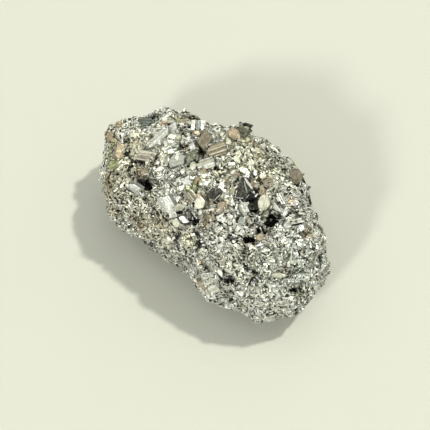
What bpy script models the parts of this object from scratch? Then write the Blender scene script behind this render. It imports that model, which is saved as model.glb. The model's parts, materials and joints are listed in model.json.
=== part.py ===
"""Raw pyrite: one lump of intergrown cube crystals, broken off flat underneath.

The lump grew as one piece, so it is one solid. +Z is up, +X runs along the lump, and the
origin is at the middle of its underside. Driving dimensions are in millimetres and degrees.
A place on the lump is given by two angles: its bearing, anticlockwise from +X seen from
above, and its climb, from -90 underneath over 0 on the widest contour to 90 on the crown.
"""

import math
import random

import bmesh
import bpy
from mathutils import Matrix, Vector, noise

MM = 0.001

# The smooth pebble form that everything else is set into.
TOP_RISE = 17.0         # from the widest contour up to the crown
BOTTOM_DROP = 13.4      # from the widest contour down, before the seat is cut
TOP_FULLNESS = 0.85     # below 1 the flank is fuller than an ellipse's
BOTTOM_FULLNESS = 0.75

# Where the pebble's upright axis meets the level of its widest contour.
MIDDLE = Vector((1.9, -1.3, 12.2))

# Reach of the widest contour from the upright axis, every 15 degrees of bearing.
RIM = (
    30.0, 28.5, 24.5, 21.5, 21.0, 20.5, 20.0, 20.5, 21.0, 21.5, 24.5, 29.0,
    33.5, 33.0, 29.0, 26.0, 21.0, 17.5, 17.0, 17.0, 20.0, 22.5, 27.0, 29.5,
)

# The lump's long core runs between these points, measured from that middle. The surface
# faces away from it.
CORE_START = Vector((-20.0, 1.0, 0.0))
CORE_END = Vector((14.0, 1.0, 0.0))

# Swellings and hollows of the form: bearing, climb, how far they spread, how far they rise.
SWELLINGS = (
    (191, 18, 4.5, 1.2),       # west shoulder
    (184, 22, 4.0, 0.4),
    (180, 43, 5.0, -2.9),      # cleft between the west shoulder and the north-west ridge
    (178, 25, 4.5, -1.3),
    (200, 15, 4.0, -1.9),
    (207, 5, 5.0, 0.9),
    (214, -10, 4.0, -0.3),
    (225, -7, 4.0, 0.6),
    (234, -14, 4.0, -1.2),
    (239, -38, 4.5, -1.2),
    (251, -14, 4.0, -1.5),
    (278, -28, 4.0, -1.0),
    (280, -9, 5.0, -1.7),
    (300, -16, 4.0, -0.8),
    (309, -17, 3.5, 0.6),
    (322, -9, 5.0, -3.1),
    (327, -26, 3.5, -0.9),
    (334, -16, 4.0, 1.5),
    (352, -14, 4.0, 0.6),
    (7, -8, 4.0, -1.3),
    (12, -1, 3.5, 1.0),
    (17, 11, 3.5, -1.0),
    (25, 29, 4.0, -0.5),
    (33, 15, 4.5, -1.5),       # waist behind the east boulder
    (43, 24, 4.0, -0.9),
    (57, 16, 4.0, -0.6),
    (82, 42, 6.0, -2.1),
    (105, 18, 4.5, -0.9),
    (144, 44, 6.5, -1.7),
    (153, 34, 4.5, -1.4),
    (166, 33, 4.5, 1.4),       # north-west ridge
    (30, 48, 6.0, 0.9),        # east boulder
    (12, 61, 3.5, 0.9),        # knob beside the pits
    (358, 66, 4.5, -1.2),      # dip that the pits open into
    (288, 28, 3.5, 1.3),       # south boss
    (232, 46, 3.5, -1.2),
)

# Broken facets all over: cells about this wide, leaning and stepped at random.
CELL = 4.6
CELL_LEAN = 0.26        # slope of a cell's plane, rise over run
CELL_STEP = 0.30        # how far neighbouring cells stand apart

# The largest crystals: bearing, climb, length, width, thickness, how far the outer face
# stands out of the surface, spin about the outward direction, lean from it.
CRYSTALS = (
    (118, 46, 3.6, 2.8, 3.0, 1.2, 20, 10),
    (123, 60, 3.0, 2.8, 2.6, 0.3, 50, 20),
    (193, 61, 5.4, 2.0, 2.4, 1.0, 50, 12),
    (210, 55, 4.6, 2.6, 2.4, 0.9, 10, 25),
    (211, 72, 4.2, 3.0, 2.4, 0.8, 35, 15),
    (198, 79, 3.6, 2.6, 2.6, 0.9, 60, 25),
    (165, 75, 4.2, 3.4, 2.8, 0.9, 15, 20),
    (151, 80, 5.0, 2.8, 2.8, 1.0, 65, 12),
    (161, 63, 3.0, 2.4, 2.6, 0.9, 45, 10),
    (232, 38, 4.6, 3.0, 2.2, 0.8, 20, 20),
    (254, 41, 4.0, 3.4, 2.8, 0.9, 70, 15),
    (285, 58, 3.2, 3.2, 3.0, 1.1, 30, 20),
    (303, 74, 3.0, 3.0, 2.8, 0.8, 10, 25),
    (358, 80, 4.6, 4.2, 4.0, 1.3, 25, 30),
    (3, 69, 3.4, 3.0, 3.0, 1.0, 55, 20),
    (347, 70, 4.2, 2.4, 2.6, 0.8, 80, 15),
    (52, 40, 3.4, 3.0, 2.4, 0.5, 40, 10),
    (343, 53, 3.4, 3.0, 2.6, 0.8, 15, 15),
    (12, 48, 3.6, 2.2, 2.2, 0.8, 75, 20),
    (345, 29, 3.6, 2.4, 2.2, 0.7, 35, 12),
    (205, 36, 3.6, 3.0, 2.6, 0.7, 60, 20),
    (95, -10, 4.4, 3.8, 3.2, 0.9, 25, 20),
    (122, -8, 3.8, 3.0, 3.0, 1.0, 65, 15),
    (146, 4, 4.6, 3.4, 3.0, 0.9, 40, 20),
    (62, -26, 3.8, 3.2, 3.0, 0.9, 10, 18),
)

# Pits between crystals: bearing, climb, length, width, depth, spin, lean.
PITS = (
    (357, 74, 4.8, 3.0, 6.0, 60, 10),
    (351, 68, 4.0, 2.6, 5.0, 30, 5),
    (1, 61, 4.8, 3.0, 6.0, 15, 12),
    (232, 47, 4.4, 2.6, 5.0, 70, 8),
    (320, 20, 3.4, 2.2, 4.6, 40, 10),
    (185, 82, 2.8, 2.0, 4.0, 80, 0),
    (207, 88, 2.4, 2.0, 3.6, 35, 5),
    (288, 45, 2.8, 2.0, 4.0, 20, 12),
    (336, 54, 2.6, 1.8, 3.6, 50, 6),
    (16, 49, 3.0, 2.0, 4.0, 65, 10),
    (351, 12, 3.4, 2.0, 3.6, 25, 8),
    (105, 5, 3.4, 2.2, 4.4, 55, 10),
    (140, -5, 3.0, 2.2, 4.0, 15, 6),
)

PEBBLE_DETAIL = 6       # icosphere subdivisions before thinning
THINNED_TO = 0.36       # share of the triangles that thinning keeps
SEAT_SIZE = 90.0        # side of the block that cuts the underside flat
SEED = 11


def catmull_rom(values, place):
    """Smooth closed curve through equally spaced values; place runs from 0 to their count."""
    count = len(values)
    index = math.floor(place)
    t = place - index
    before, here, after, beyond = (values[(index + step) % count] for step in (-1, 0, 1, 2))
    return 0.5 * (
        2 * here
        + (after - before) * t
        + (2 * before - 5 * here + 4 * after - beyond) * t ** 2
        + (3 * here - before - 3 * after + beyond) * t ** 3
    )


def direction_of(bearing, climb):
    """Unit vector of a place given by its two angles in degrees."""
    bearing, climb = math.radians(bearing), math.radians(climb)
    return Vector((
        math.cos(climb) * math.cos(bearing),
        math.cos(climb) * math.sin(bearing),
        math.sin(climb),
    ))


def pebble_point(direction):
    """Where the smooth pebble form lies in a direction, measured from its middle."""
    bearing = math.atan2(direction.y, direction.x) % math.tau
    reach = catmull_rom(RIM, bearing / math.tau * len(RIM))
    fullness = TOP_FULLNESS if direction.z > 0 else BOTTOM_FULLNESS
    rise = TOP_RISE if direction.z > 0 else BOTTOM_DROP
    across = reach * math.hypot(direction.x, direction.y) ** fullness
    return Vector((
        across * math.cos(bearing),
        across * math.sin(bearing),
        math.copysign(rise * abs(direction.z) ** fullness, direction.z),
    ))


def outward(point):
    """Unit vector from the long core to a point."""
    run = CORE_END - CORE_START
    share = max(0.0, min(1.0, (point - CORE_START).dot(run) / run.length_squared))
    return (point - CORE_START - run * share).normalized()


SWELLING_CENTRES = [
    (pebble_point(direction_of(bearing, climb)), spread, rise)
    for bearing, climb, spread, rise in SWELLINGS
]


def swelling(point):
    """How far the form's swellings and hollows move a point of the pebble outwards."""
    total = 0.0
    for centre, spread, rise in SWELLING_CENTRES:
        distance = (point - centre).length / spread
        total += rise * math.exp(-1.5 * distance * distance)
    return total


def facet(point):
    """How far the broken facet that a point belongs to moves it outwards."""
    nearest = noise.voronoi(point / CELL)[1][0]
    lean = noise.noise_vector(nearest * 7.3) * 2 * CELL_LEAN
    step = noise.noise(nearest * 5.1) * 2 * CELL_STEP
    return step + lean.dot(point - nearest * CELL)


def surface(direction):
    """The lump's surface in a direction, and the way it faces there."""
    point = pebble_point(direction)
    away = outward(point)
    return MIDDLE + point + away * (swelling(point) + facet(point)), away


def frame_on(bearing, climb, spin, lean, stand_out):
    """Matrix of a block set on the surface, its +Z outwards, spun and then leant over."""
    point, away = surface(direction_of(bearing, climb))
    upright = away.to_track_quat("Z", "Y").to_matrix().to_4x4()
    turn = Matrix.Rotation(math.radians(lean), 4, "X") @ Matrix.Rotation(math.radians(spin), 4, "Z")
    return Matrix.Translation((point + away * stand_out) * MM) @ upright @ turn


def make_material(name, colour, metallic, roughness):
    """A Principled material of one colour."""
    material = bpy.data.materials.new(name)
    material.use_nodes = True
    shader = material.node_tree.nodes["Principled BSDF"]
    shader.inputs["Base Color"].default_value = colour
    shader.inputs["Metallic"].default_value = metallic
    shader.inputs["Roughness"].default_value = roughness
    return material


def make_collection(name, is_cutter=False):
    """A collection linked to the scene; cutters are kept out of renders."""
    collection = bpy.data.collections.new(name)
    bpy.context.scene.collection.children.link(collection)
    collection.hide_render = is_cutter
    return collection


def add_object(name, form, collection):
    """An object made from a bmesh, in a collection."""
    mesh = bpy.data.meshes.new(name)
    form.to_mesh(mesh)
    form.free()
    item = bpy.data.objects.new(name, mesh)
    collection.objects.link(item)
    return item


def add_cutter(name, form, collection):
    """An object that only joins or cuts another."""
    item = add_object(name, form, collection)
    item.display_type = "WIRE"
    item.hide_render = True
    return item


def make_pebble(collection):
    """The pebble form with its swellings, hollows and broken facets."""
    form = bmesh.new()
    bmesh.ops.create_icosphere(form, subdivisions=PEBBLE_DETAIL, radius=1.0)
    for vertex in form.verts:
        vertex.co = surface(vertex.co.normalized())[0] * MM
    return add_object("pyrite_cluster", form, collection)


def make_crystals(collection):
    """One block for each of the largest crystals."""
    for number, (bearing, climb, length, width, thickness, stand_out, spin, lean) in enumerate(CRYSTALS):
        form = bmesh.new()
        size = Matrix.Diagonal((length * MM, width * MM, thickness * MM, 1.0))
        bmesh.ops.create_cube(form, size=1.0, matrix=size)
        block = add_cutter(f"crystal_{number + 1:02d}", form, collection)
        block.data.transform(frame_on(bearing, climb, spin, lean, stand_out - thickness / 2))


def make_pits(collection):
    """One faceted plug for each pit between crystals."""
    shaker = random.Random(SEED)
    for number, (bearing, climb, length, width, depth, spin, lean) in enumerate(PITS):
        form = bmesh.new()
        bmesh.ops.create_icosphere(form, subdivisions=1, radius=1.0)
        for vertex in form.verts:
            vertex.co *= shaker.uniform(0.8, 1.1)
            vertex.co.x *= length / 2 * MM
            vertex.co.y *= width / 2 * MM
            vertex.co.z *= depth / 2 * MM
        plug = add_cutter(f"pit_{number + 1:02d}", form, collection)
        plug.data.transform(frame_on(bearing, climb, spin, lean, 0.0))


def make_seat(collection):
    """The block below the lump that cuts its underside flat at height 0."""
    form = bmesh.new()
    middle = Matrix.Translation((0, 0, -SEAT_SIZE / 2 * MM))
    bmesh.ops.create_cube(form, size=SEAT_SIZE * MM, matrix=middle)
    return add_cutter("seat", form, collection)


def add_boolean(item, name, operation, operand):
    """A Boolean with an object or with a whole collection."""
    modifier = item.modifiers.new(name, "BOOLEAN")
    modifier.operation = operation
    modifier.solver = "EXACT"
    if isinstance(operand, bpy.types.Collection):
        modifier.operand_type = "COLLECTION"
        modifier.collection = operand
    else:
        modifier.object = operand


def main():
    noise.seed_set(SEED)
    for old in list(bpy.data.objects):
        bpy.data.objects.remove(old)
    lump_collection = make_collection("raw_pyrite")
    crystal_collection = make_collection("crystal_blocks", is_cutter=True)
    pit_collection = make_collection("pit_plugs", is_cutter=True)
    seat_collection = make_collection("seat_block", is_cutter=True)

    lump = make_pebble(lump_collection)
    lump.data.materials.append(
        make_material("pyrite", (0.62, 0.60, 0.52, 1.0), metallic=1.0, roughness=0.3)
    )
    make_crystals(crystal_collection)
    make_pits(pit_collection)
    seat = make_seat(seat_collection)

    thinning = lump.modifiers.new("thinning", "DECIMATE")
    thinning.ratio = THINNED_TO
    add_boolean(lump, "crystals", "UNION", crystal_collection)
    add_boolean(lump, "pits", "DIFFERENCE", pit_collection)
    add_boolean(lump, "seat", "DIFFERENCE", seat)


main()
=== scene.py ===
"""Raw pyrite: a lump of intergrown crystals, dressed grain by grain.

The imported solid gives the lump's outline. Everything here grows on it: a sunken core, the large
crystals one by one, three layers of small grains, and a layer of middling crystals between them.
Lengths are in millimetres until a mesh is made, and angles are in degrees.
"""

import json
import logging
import math
import random
from dataclasses import dataclass, field
from enum import Enum
from typing import Sequence, Union

import bmesh
import bpy
from mathutils import Matrix, Vector, noise
from mathutils.bvhtree import BVHTree
from mathutils.kdtree import KDTree

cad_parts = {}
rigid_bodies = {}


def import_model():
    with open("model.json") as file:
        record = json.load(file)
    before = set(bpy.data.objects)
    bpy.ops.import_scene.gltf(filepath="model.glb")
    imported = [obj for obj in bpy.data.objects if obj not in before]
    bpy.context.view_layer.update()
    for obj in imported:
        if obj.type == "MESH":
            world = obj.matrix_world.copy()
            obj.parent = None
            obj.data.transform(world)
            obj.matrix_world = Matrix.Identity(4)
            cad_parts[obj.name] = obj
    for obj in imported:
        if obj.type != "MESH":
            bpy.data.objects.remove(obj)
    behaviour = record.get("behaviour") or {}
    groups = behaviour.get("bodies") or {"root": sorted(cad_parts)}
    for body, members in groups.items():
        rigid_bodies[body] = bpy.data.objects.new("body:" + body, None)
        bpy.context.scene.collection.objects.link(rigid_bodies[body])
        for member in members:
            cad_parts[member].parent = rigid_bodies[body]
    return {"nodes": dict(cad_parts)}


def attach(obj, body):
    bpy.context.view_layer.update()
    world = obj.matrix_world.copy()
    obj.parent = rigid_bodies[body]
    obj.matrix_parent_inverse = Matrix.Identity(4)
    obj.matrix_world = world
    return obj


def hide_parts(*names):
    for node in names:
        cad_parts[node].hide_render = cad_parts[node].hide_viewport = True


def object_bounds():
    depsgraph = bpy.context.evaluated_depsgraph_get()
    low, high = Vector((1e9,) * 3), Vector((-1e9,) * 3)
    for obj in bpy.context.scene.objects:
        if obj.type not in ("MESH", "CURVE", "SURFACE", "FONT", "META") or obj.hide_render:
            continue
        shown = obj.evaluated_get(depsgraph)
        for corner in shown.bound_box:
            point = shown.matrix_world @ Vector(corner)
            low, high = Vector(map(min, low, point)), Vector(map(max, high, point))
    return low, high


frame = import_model()
CAD_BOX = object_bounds()

MM = 0.001
SEAT_ZONE = (0.6, 2.2)  # heights between which the flat seat gives way to rough crystal
NODE = "pyrite_cluster"
BODY = "root"
GRAIN_MAP = "OFBake"
LOG = logging.getLogger("raw_pyrite")

Colour = tuple[float, float, float]
Number = Union[float, "Link"]


# ---------------------------------------------------------------- node trees as Python

class Link:
    """An output socket that can be used in sums, so that shader maths reads as Python."""

    def __init__(self, graph: "Graph", socket: bpy.types.NodeSocket) -> None:
        """Wrap a socket.

        Args:
            graph: The graph that the socket belongs to.
            socket: The output socket.
        """
        self.graph = graph
        self.socket = socket

    def _sum(self, operation: str, first: Number, second: Number) -> "Link":
        """Add a Math node for one operation on two values."""
        return self.graph.node("ShaderNodeMath", {"operation": operation}, {0: first, 1: second})

    def __add__(self, other: Number) -> "Link":
        """self + other."""
        return self._sum("ADD", self, other)

    def __radd__(self, other: Number) -> "Link":
        """other + self."""
        return self._sum("ADD", other, self)

    def __sub__(self, other: Number) -> "Link":
        """self - other."""
        return self._sum("SUBTRACT", self, other)

    def __mul__(self, other: Number) -> "Link":
        """self * other."""
        return self._sum("MULTIPLY", self, other)

    def __truediv__(self, other: Number) -> "Link":
        """self / other."""
        return self._sum("DIVIDE", self, other)

    def __rtruediv__(self, other: Number) -> "Link":
        """other / self."""
        return self._sum("DIVIDE", other, self)

    def __pow__(self, other: Number) -> "Link":
        """self raised to other."""
        return self._sum("POWER", self, other)

    def __lt__(self, other: Number) -> "Link":
        """1 where self is less than other, else 0."""
        return self._sum("LESS_THAN", self, other)

    def at(self, output: Union[int, str]) -> "Link":
        """Another output of the same node.

        Args:
            output: The output's number or name.

        Returns:
            That output as a link.
        """
        return Link(self.graph, self.socket.node.outputs[output])


class Graph:
    """A node tree that is written as calls."""

    def __init__(self, tree: bpy.types.NodeTree) -> None:
        """Start with an empty tree.

        Args:
            tree: The tree to fill.
        """
        self.tree = tree
        tree.nodes.clear()

    def node(self, kind: str, settings: dict | None = None, inputs: dict | None = None) -> Link:
        """Add one node.

        Args:
            kind: The node's type.
            settings: Properties set before the sockets; "stops" fills a colour ramp, "between"
                says what lies between its stops, and "output" names the output to return.
            inputs: Socket number or name to a value or a link.

        Returns:
            The node's first or named output, or its first input where it has no output.
        """
        made = self.tree.nodes.new(kind)
        settings = dict(settings or {})
        output = settings.pop("output", 0)
        stops = settings.pop("stops", ())
        if stops:
            made.color_ramp.interpolation = settings.pop("between", "LINEAR")
        for name, value in settings.items():
            setattr(made, name, value)
        for number, (place, colour) in enumerate(stops):
            stops_made = made.color_ramp.elements
            stop = stops_made[number] if number < 2 else stops_made.new(place)
            stop.position = place
            stop.color = (*colour, 1.0)
        for name, value in (inputs or {}).items():
            self.feed(made.inputs[name], value)
        return Link(self, made.outputs[output] if made.outputs else made.inputs[0])

    def vector(self, operation: str, *values: object, scale: Number | None = None) -> Link:
        """Add a Vector Math node.

        Args:
            operation: Its operation.
            values: What its vector inputs get.
            scale: What its Scale input gets, for SCALE.

        Returns:
            The result, which is a number for DOT_PRODUCT, DISTANCE and LENGTH.
        """
        output = 1 if operation in ("DOT_PRODUCT", "DISTANCE", "LENGTH") else 0
        inputs = dict(enumerate(values))
        if scale is not None:
            inputs["Scale"] = scale
        return self.node("ShaderNodeVectorMath", {"operation": operation, "output": output}, inputs)

    def feed(self, socket: bpy.types.NodeSocket, value: object) -> None:
        """Set or link one input socket.

        Args:
            socket: The input.
            value: A plain value or a link; a colour may leave its alpha out.
        """
        if isinstance(value, Link):
            self.tree.links.new(value.socket, socket)
        elif socket.type == "RGBA" and len(value) == 3:
            socket.default_value = (*value, 1.0)
        else:
            socket.default_value = value

    def carried(self, name: str, output: str = "Color") -> Link:
        """An attribute that the mesh carries, as a colour, or as a number with "Fac"."""
        return self.node("ShaderNodeAttribute", {"attribute_name": name, "output": output})

    def noise(self, place: Link, scale: float, detail: float = 2.0, rough: float = 0.5,
              distortion: float = 0.0) -> Link:
        """Add a noise pattern.

        Args:
            place: Where the pattern is read.
            scale: How many swirls a metre holds.
            detail: How many finer patterns lie over it.
            rough: How strong those are.
            distortion: How far it is pulled about.

        Returns:
            A value round 0.5.
        """
        return self.node("ShaderNodeTexNoise", {"output": "Fac"}, {
            "Vector": place, "Scale": scale, "Detail": detail, "Roughness": rough, "Distortion": distortion,
        })

    def remap(self, value: Number, low: float, high: float, first: Number = 0.0,
              last: Number = 1.0) -> Link:
        """Turn a value's range into another range.

        Args:
            value: The value.
            low: Where the result is first, and stays so below.
            high: Where the result is last, and stays so above.
            first: One end of the result.
            last: The other end.

        Returns:
            The result.
        """
        return self.node("ShaderNodeMapRange", {}, {0: value, 1: low, 2: high, 3: first, 4: last})

    def tinted(self, share: Number, colour: object, tint: object, way: str = "MULTIPLY") -> Link:
        """Lay one colour over another.

        Args:
            share: How strongly, from 0 to 1.
            colour: The colour below.
            tint: The colour above.
            way: How the two are blended.

        Returns:
            The colour that results.
        """
        return self.node("ShaderNodeMix", {"data_type": "RGBA", "blend_type": way, "output": 2},
                         {0: share, 6: colour, 7: tint})

    def shade(self, colour: Link, metal: float, rough: Number, bump: Link | None = None) -> None:
        """End a material.

        Args:
            colour: Its base colour.
            metal: How metallic it is.
            rough: Its roughness.
            bump: Its normal, where it isn't smooth.
        """
        inputs = {"Base Color": colour, "Metallic": metal, "Roughness": rough}
        if bump is not None:
            inputs["Normal"] = bump
        self.node("ShaderNodeOutputMaterial", {}, {0: self.node("ShaderNodeBsdfPrincipled", {}, inputs)})


# ---------------------------------------------------------------- where the camera stands

@dataclass(frozen=True)
class ViewPoint:
    """The camera, and the way from a place in its picture to a place on the lump.

    Attributes:
        azimuth: Bearing that it stands at, from the front towards the right.
        climb: Its height above the horizon.
        lens: Focal length.
        sensor: Width of its sensor.
        distance: How far it stands from its target.
        target: What it looks at.
        picture: Units along each side of its picture, in which places are given.
    """

    azimuth: float = 47.0
    climb: float = 55.0
    lens: float = 120.0
    sensor: float = 36.0
    distance: float = 330.6
    target: tuple[float, float, float] = (1.9, -3.3, 13.2)
    picture: int = 430

    def axes(self) -> tuple[Vector, Vector, Vector]:
        """Find how the picture lies in the room.

        Returns:
            The picture's right and up, and the way back to the camera, as unit vectors.
        """
        turn, rise = math.radians(self.azimuth), math.radians(self.climb)
        back = Vector((math.sin(turn) * math.cos(rise), -math.cos(turn) * math.cos(rise), math.sin(rise)))
        right = Vector((math.cos(turn), math.sin(turn), 0.0))
        return right, back.cross(right), back

    def place(self) -> Vector:
        """Where the camera stands, in metres."""
        return (Vector(self.target) + self.axes()[2] * self.distance) * MM

    def ray(self, across: float, down: float) -> Vector:
        """The direction of sight through a point of the picture.

        Args:
            across: Picture units from the left edge.
            down: Picture units from the top edge.

        Returns:
            A unit vector.
        """
        right, up, back = self.axes()
        focal = self.lens / self.sensor * self.picture
        middle = self.picture / 2
        sight = right * ((across - middle) / focal) + up * ((middle - down) / focal) - back
        return sight.normalized()

    def build(self) -> None:
        """Add the camera and make it the scene's."""
        right, up, back = self.axes()
        data = bpy.data.cameras.new("camera")
        data.lens = self.lens
        data.sensor_width = self.sensor
        data.clip_start = 0.01
        camera = bpy.data.objects.new("camera", data)
        turn = Matrix((right, up, back)).transposed().to_4x4()
        camera.matrix_world = Matrix.Translation(self.place()) @ turn
        bpy.context.scene.collection.objects.link(camera)
        bpy.context.scene.camera = camera


# ---------------------------------------------------------------- finishes

class Skin(Enum):
    """The colours that pyrite faces take: fresh metal and the tarnishes that grow on it."""

    SILVER = (0.88, 0.905, 0.825)
    WHITE = (0.87, 0.89, 0.855)
    CREAM = (0.83, 0.83, 0.685)
    STEEL = (0.64, 0.67, 0.60)
    TAUPE = (0.30, 0.255, 0.185)
    SAGE = (0.44, 0.46, 0.34)
    TAN = (0.53, 0.43, 0.285)
    PEACH = (0.72, 0.59, 0.41)
    ROSE = (0.50, 0.42, 0.31)
    LILAC = (0.60, 0.53, 0.48)
    OLIVE = (0.34, 0.38, 0.18)
    MOSS = (0.18, 0.20, 0.12)
    SLATE = (0.30, 0.345, 0.31)
    COAL = (0.028, 0.026, 0.02)


def new_finish(name: str) -> tuple[bpy.types.Material, Graph, Link]:
    """Start a material.

    Args:
        name: Its name.

    Returns:
        The material, its graph, and the object's own coordinates in it.
    """
    material = bpy.data.materials.new(name)
    material.use_nodes = True
    graph = Graph(material.node_tree)
    return material, graph, graph.node("ShaderNodeTexCoord", {"output": "Object"})


@dataclass(frozen=True)
class Terraces:
    """Growth terraces that run over grains and core alike.

    Each is painted dark where the next one overhangs it, as a painted shadow, and brightest at its own lip,
    as a painted highlight.

    Attributes:
        patch: Width of the swirls that the terraces follow.
        count: How many terraces there are from the lowest swirl to the highest.
        dirt: Colour of the painted shadow under a lip.
        tread: Share of the metal's colour that a tread shows.
        dent: Width of a dent.
        depth: Depth of a dent.
    """

    patch: float = 2.2
    count: float = 7.0
    dirt: Colour = (0.028, 0.025, 0.010)
    tread: float = 0.86
    dent: float = 0.6
    depth: float = 0.1

    # Shares of a terrace's width where the painted shadow ends, the tread starts and ends, and the painted
    # highlight at the lip starts.
    DIRT_END, TREAD_START, TREAD_END, LIP = 0.225, 0.33, 0.80, 0.93

    def build(self, graph: Graph, place: Link, colour: Link) -> tuple[Link, Link]:
        """Terrace a finish.

        Args:
            graph: The material's graph.
            place: Object coordinates.
            colour: The colour of the clean metal.

        Returns:
            The terraced colour, and the normal that the dents give.
        """
        swirl = graph.noise(place, 1.0 / (self.patch * MM), detail=1.0, distortion=0.2)
        run = graph.node("ShaderNodeMath", {"operation": "FRACT"}, {0: swirl * self.count})
        tread = (self.tread,) * 3
        # Painted shadow under each lip, the metal's own colour on the tread, and a painted highlight at the
        # lip.
        shade = graph.node("ShaderNodeValToRGB", {"stops": (
            (0.0, self.dirt), (self.DIRT_END, self.dirt), (self.TREAD_START, tread),
            (self.TREAD_END, tread), (self.LIP, (1.0, 1.0, 1.0)),
        )}, {0: run})
        normal = graph.node("ShaderNodeBump", {}, {
            "Strength": 1.0, "Distance": self.depth * MM,
            "Height": graph.noise(place, 1.0 / (self.dent * MM), rough=0.6),
        })
        return graph.tinted(1.0, colour, shade), normal


@dataclass(frozen=True)
class CrystalMetal:
    """Metal of the large crystals, which carry their colour as an attribute.

    Attributes:
        name: The material's name.
        metal: Metallic value.
        rough: Roughness of a clean face.
        stain: Share of tarnish that drifts over the dullest crystals.
        striae: How dark the fine growth lines are.
        gleam: How much of a gleam the fine mottle adds to a dark face.
    """

    name: str = "crystal_metal"
    metal: float = 0.6
    rough: float = 0.34
    stain: float = 2.0
    striae: float = 0.7
    gleam: float = 0.36

    TARNISH = (0.40, 0.375, 0.24)
    GROOVE = (0.30, 0.27, 0.17)
    GLINT = (0.36, 0.37, 0.31)
    LINES_PER_MM = 3.2
    DENT = 0.14 * MM
    LINE_DEPTH = 0.5
    DULLER = 0.2

    def build(self) -> bpy.types.Material:
        """Make the material.

        Returns:
            A material that reads the attributes skin, which holds painted shade on the crystals' sides and
            painted highlights on white rims, polish and growth.
        """
        material, graph, place = new_finish(self.name)
        polish, growth = graph.carried("polish", "Fac"), graph.carried("growth", "Fac")
        mottle = graph.remap(graph.noise(place, 1100.0, detail=4.0, rough=0.7), low=0.42, high=0.66)
        tarnished = graph.tinted(mottle * polish * self.stain, graph.carried("skin"), self.TARNISH)
        step = graph.node("ShaderNodeTexNoise", {"noise_dimensions": "1D", "output": "Fac"},
                          {"W": growth * self.LINES_PER_MM, "Detail": 1.0})
        line = graph.remap(step, low=0.52, high=0.60)
        lined = graph.tinted(line * self.striae, tarnished, self.GROOVE)
        gleam = graph.remap(graph.noise(place, 2200.0, detail=3.0, rough=0.7), low=0.46, high=0.64,
                            last=self.gleam)
        bump = graph.node("ShaderNodeBump", {}, {
            "Strength": 1.0, "Distance": self.DENT,
            "Height": graph.noise(place, 1400.0, detail=3.0, rough=0.65) - line * self.LINE_DEPTH,
        })
        graph.shade(graph.tinted(gleam, lined, self.GLINT, "SCREEN"), self.metal,
                    self.rough + polish * self.DULLER, bump)
        return material


@dataclass(frozen=True)
class GrainMetal:
    """Metal of the small grains, each of which draws its own colour.

    Attributes:
        name: The material's name.
        skins: Each colour, with the share of the grains at which its own share starts.
        rough: Roughness of a clean grain.
        metal: Metallic value.
        terraces: The growth terraces on them.
    """

    name: str
    skins: tuple[tuple[float, Skin], ...]
    rough: float = 0.32
    metal: float = 0.5
    terraces: Terraces = Terraces()

    STAIN = (0.60, 0.53, 0.40)
    GRIME = (0.052, 0.049, 0.020)
    GRIME_DEPTH = (0.06, 0.6)
    GRIME_SHARE = (0.82, 0.55)
    MASSIVE_WAY = (0.7, -0.7, 0.0)
    MASSIVE_FROM = 14 * MM
    MOST_STAIN = 0.4
    DULLER = 0.25

    def build(self) -> bpy.types.Material:
        """Make the material, with painted shade in the gaps between grains, less at the lump's massive end.

        Returns:
            A material that reads the grains' attributes tint, tone, zone and grime, the painted shade
            towards each grain's foot.
        """
        material, graph, place = new_finish(self.name)
        tint, tone, grime = (graph.carried(name, "Fac") for name in ("tint", "tone", "grime"))
        stops = [(start, skin.value) for start, skin in self.skins]
        colour = graph.node("ShaderNodeValToRGB", {"stops": stops, "between": "CONSTANT"}, {0: tint})
        cloud = graph.remap(graph.noise(place, 160.0, detail=3.0, rough=0.55), low=0.48, high=0.68,
                            last=self.MOST_STAIN)
        zoned = graph.tinted(1.0, graph.tinted(cloud, colour, self.STAIN), graph.carried("zone"))
        corner = graph.vector("DOT_PRODUCT", place, self.MASSIVE_WAY)
        deepest = graph.remap(corner, 0.0, self.MASSIVE_FROM, *self.GRIME_SHARE)
        # Painted shade: darkens each grain towards its foot, so the gaps between grains look shadowed.
        buried = graph.remap(grime, *self.GRIME_DEPTH, 0.0, deepest)
        dim = graph.tinted(buried, zoned, self.GRIME)
        graded, normal = self.terraces.build(graph, place, dim)
        graph.shade(graded, self.metal, self.rough + tone * self.DULLER, normal)
        return material


@dataclass(frozen=True)
class CoreMetal:
    """Creased metal between the grains, painted nearly black inside the pits and darker along the creases,
    as painted shade.

    Attributes:
        name: The material's name.
        open: Colour where the core lies near the surface.
        deep: Colour of the painted shade inside the pits.
        metal: Metallic value.
        rough: Roughness near the surface.
        terraces: The growth terraces on it.
    """

    name: str = "core_metal"
    open: Colour = (0.81, 0.82, 0.735)
    deep: Colour = (0.012, 0.011, 0.010)
    metal: float = 0.5
    rough: float = 0.3
    terraces: Terraces = Terraces()

    MOTTLE = 0.6
    SHADE = (0.3, 0.3, 0.3)
    DULLER = 0.4

    def build(self) -> bpy.types.Material:
        """Make the material.

        Returns:
            A material that reads the core's attributes gloom, the painted shade of pits and creases, and
            zone.
        """
        material, graph, place = new_finish(self.name)
        gloom = graph.carried("gloom", "Fac")
        mottle = graph.noise(place, 900.0, detail=4.0) * self.MOTTLE
        mottled = graph.tinted(mottle, self.open, self.SHADE)
        zoned = graph.tinted(1.0, mottled, graph.carried("zone"))
        graded, normal = self.terraces.build(graph, place, zoned)
        # Painted shade: mixes towards the near-black deep colour in pits and creases.
        colour = graph.tinted(gloom, graded, self.deep, "MIX")
        graph.shade(colour, self.metal, self.rough + gloom * self.DULLER, normal)
        return material


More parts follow.
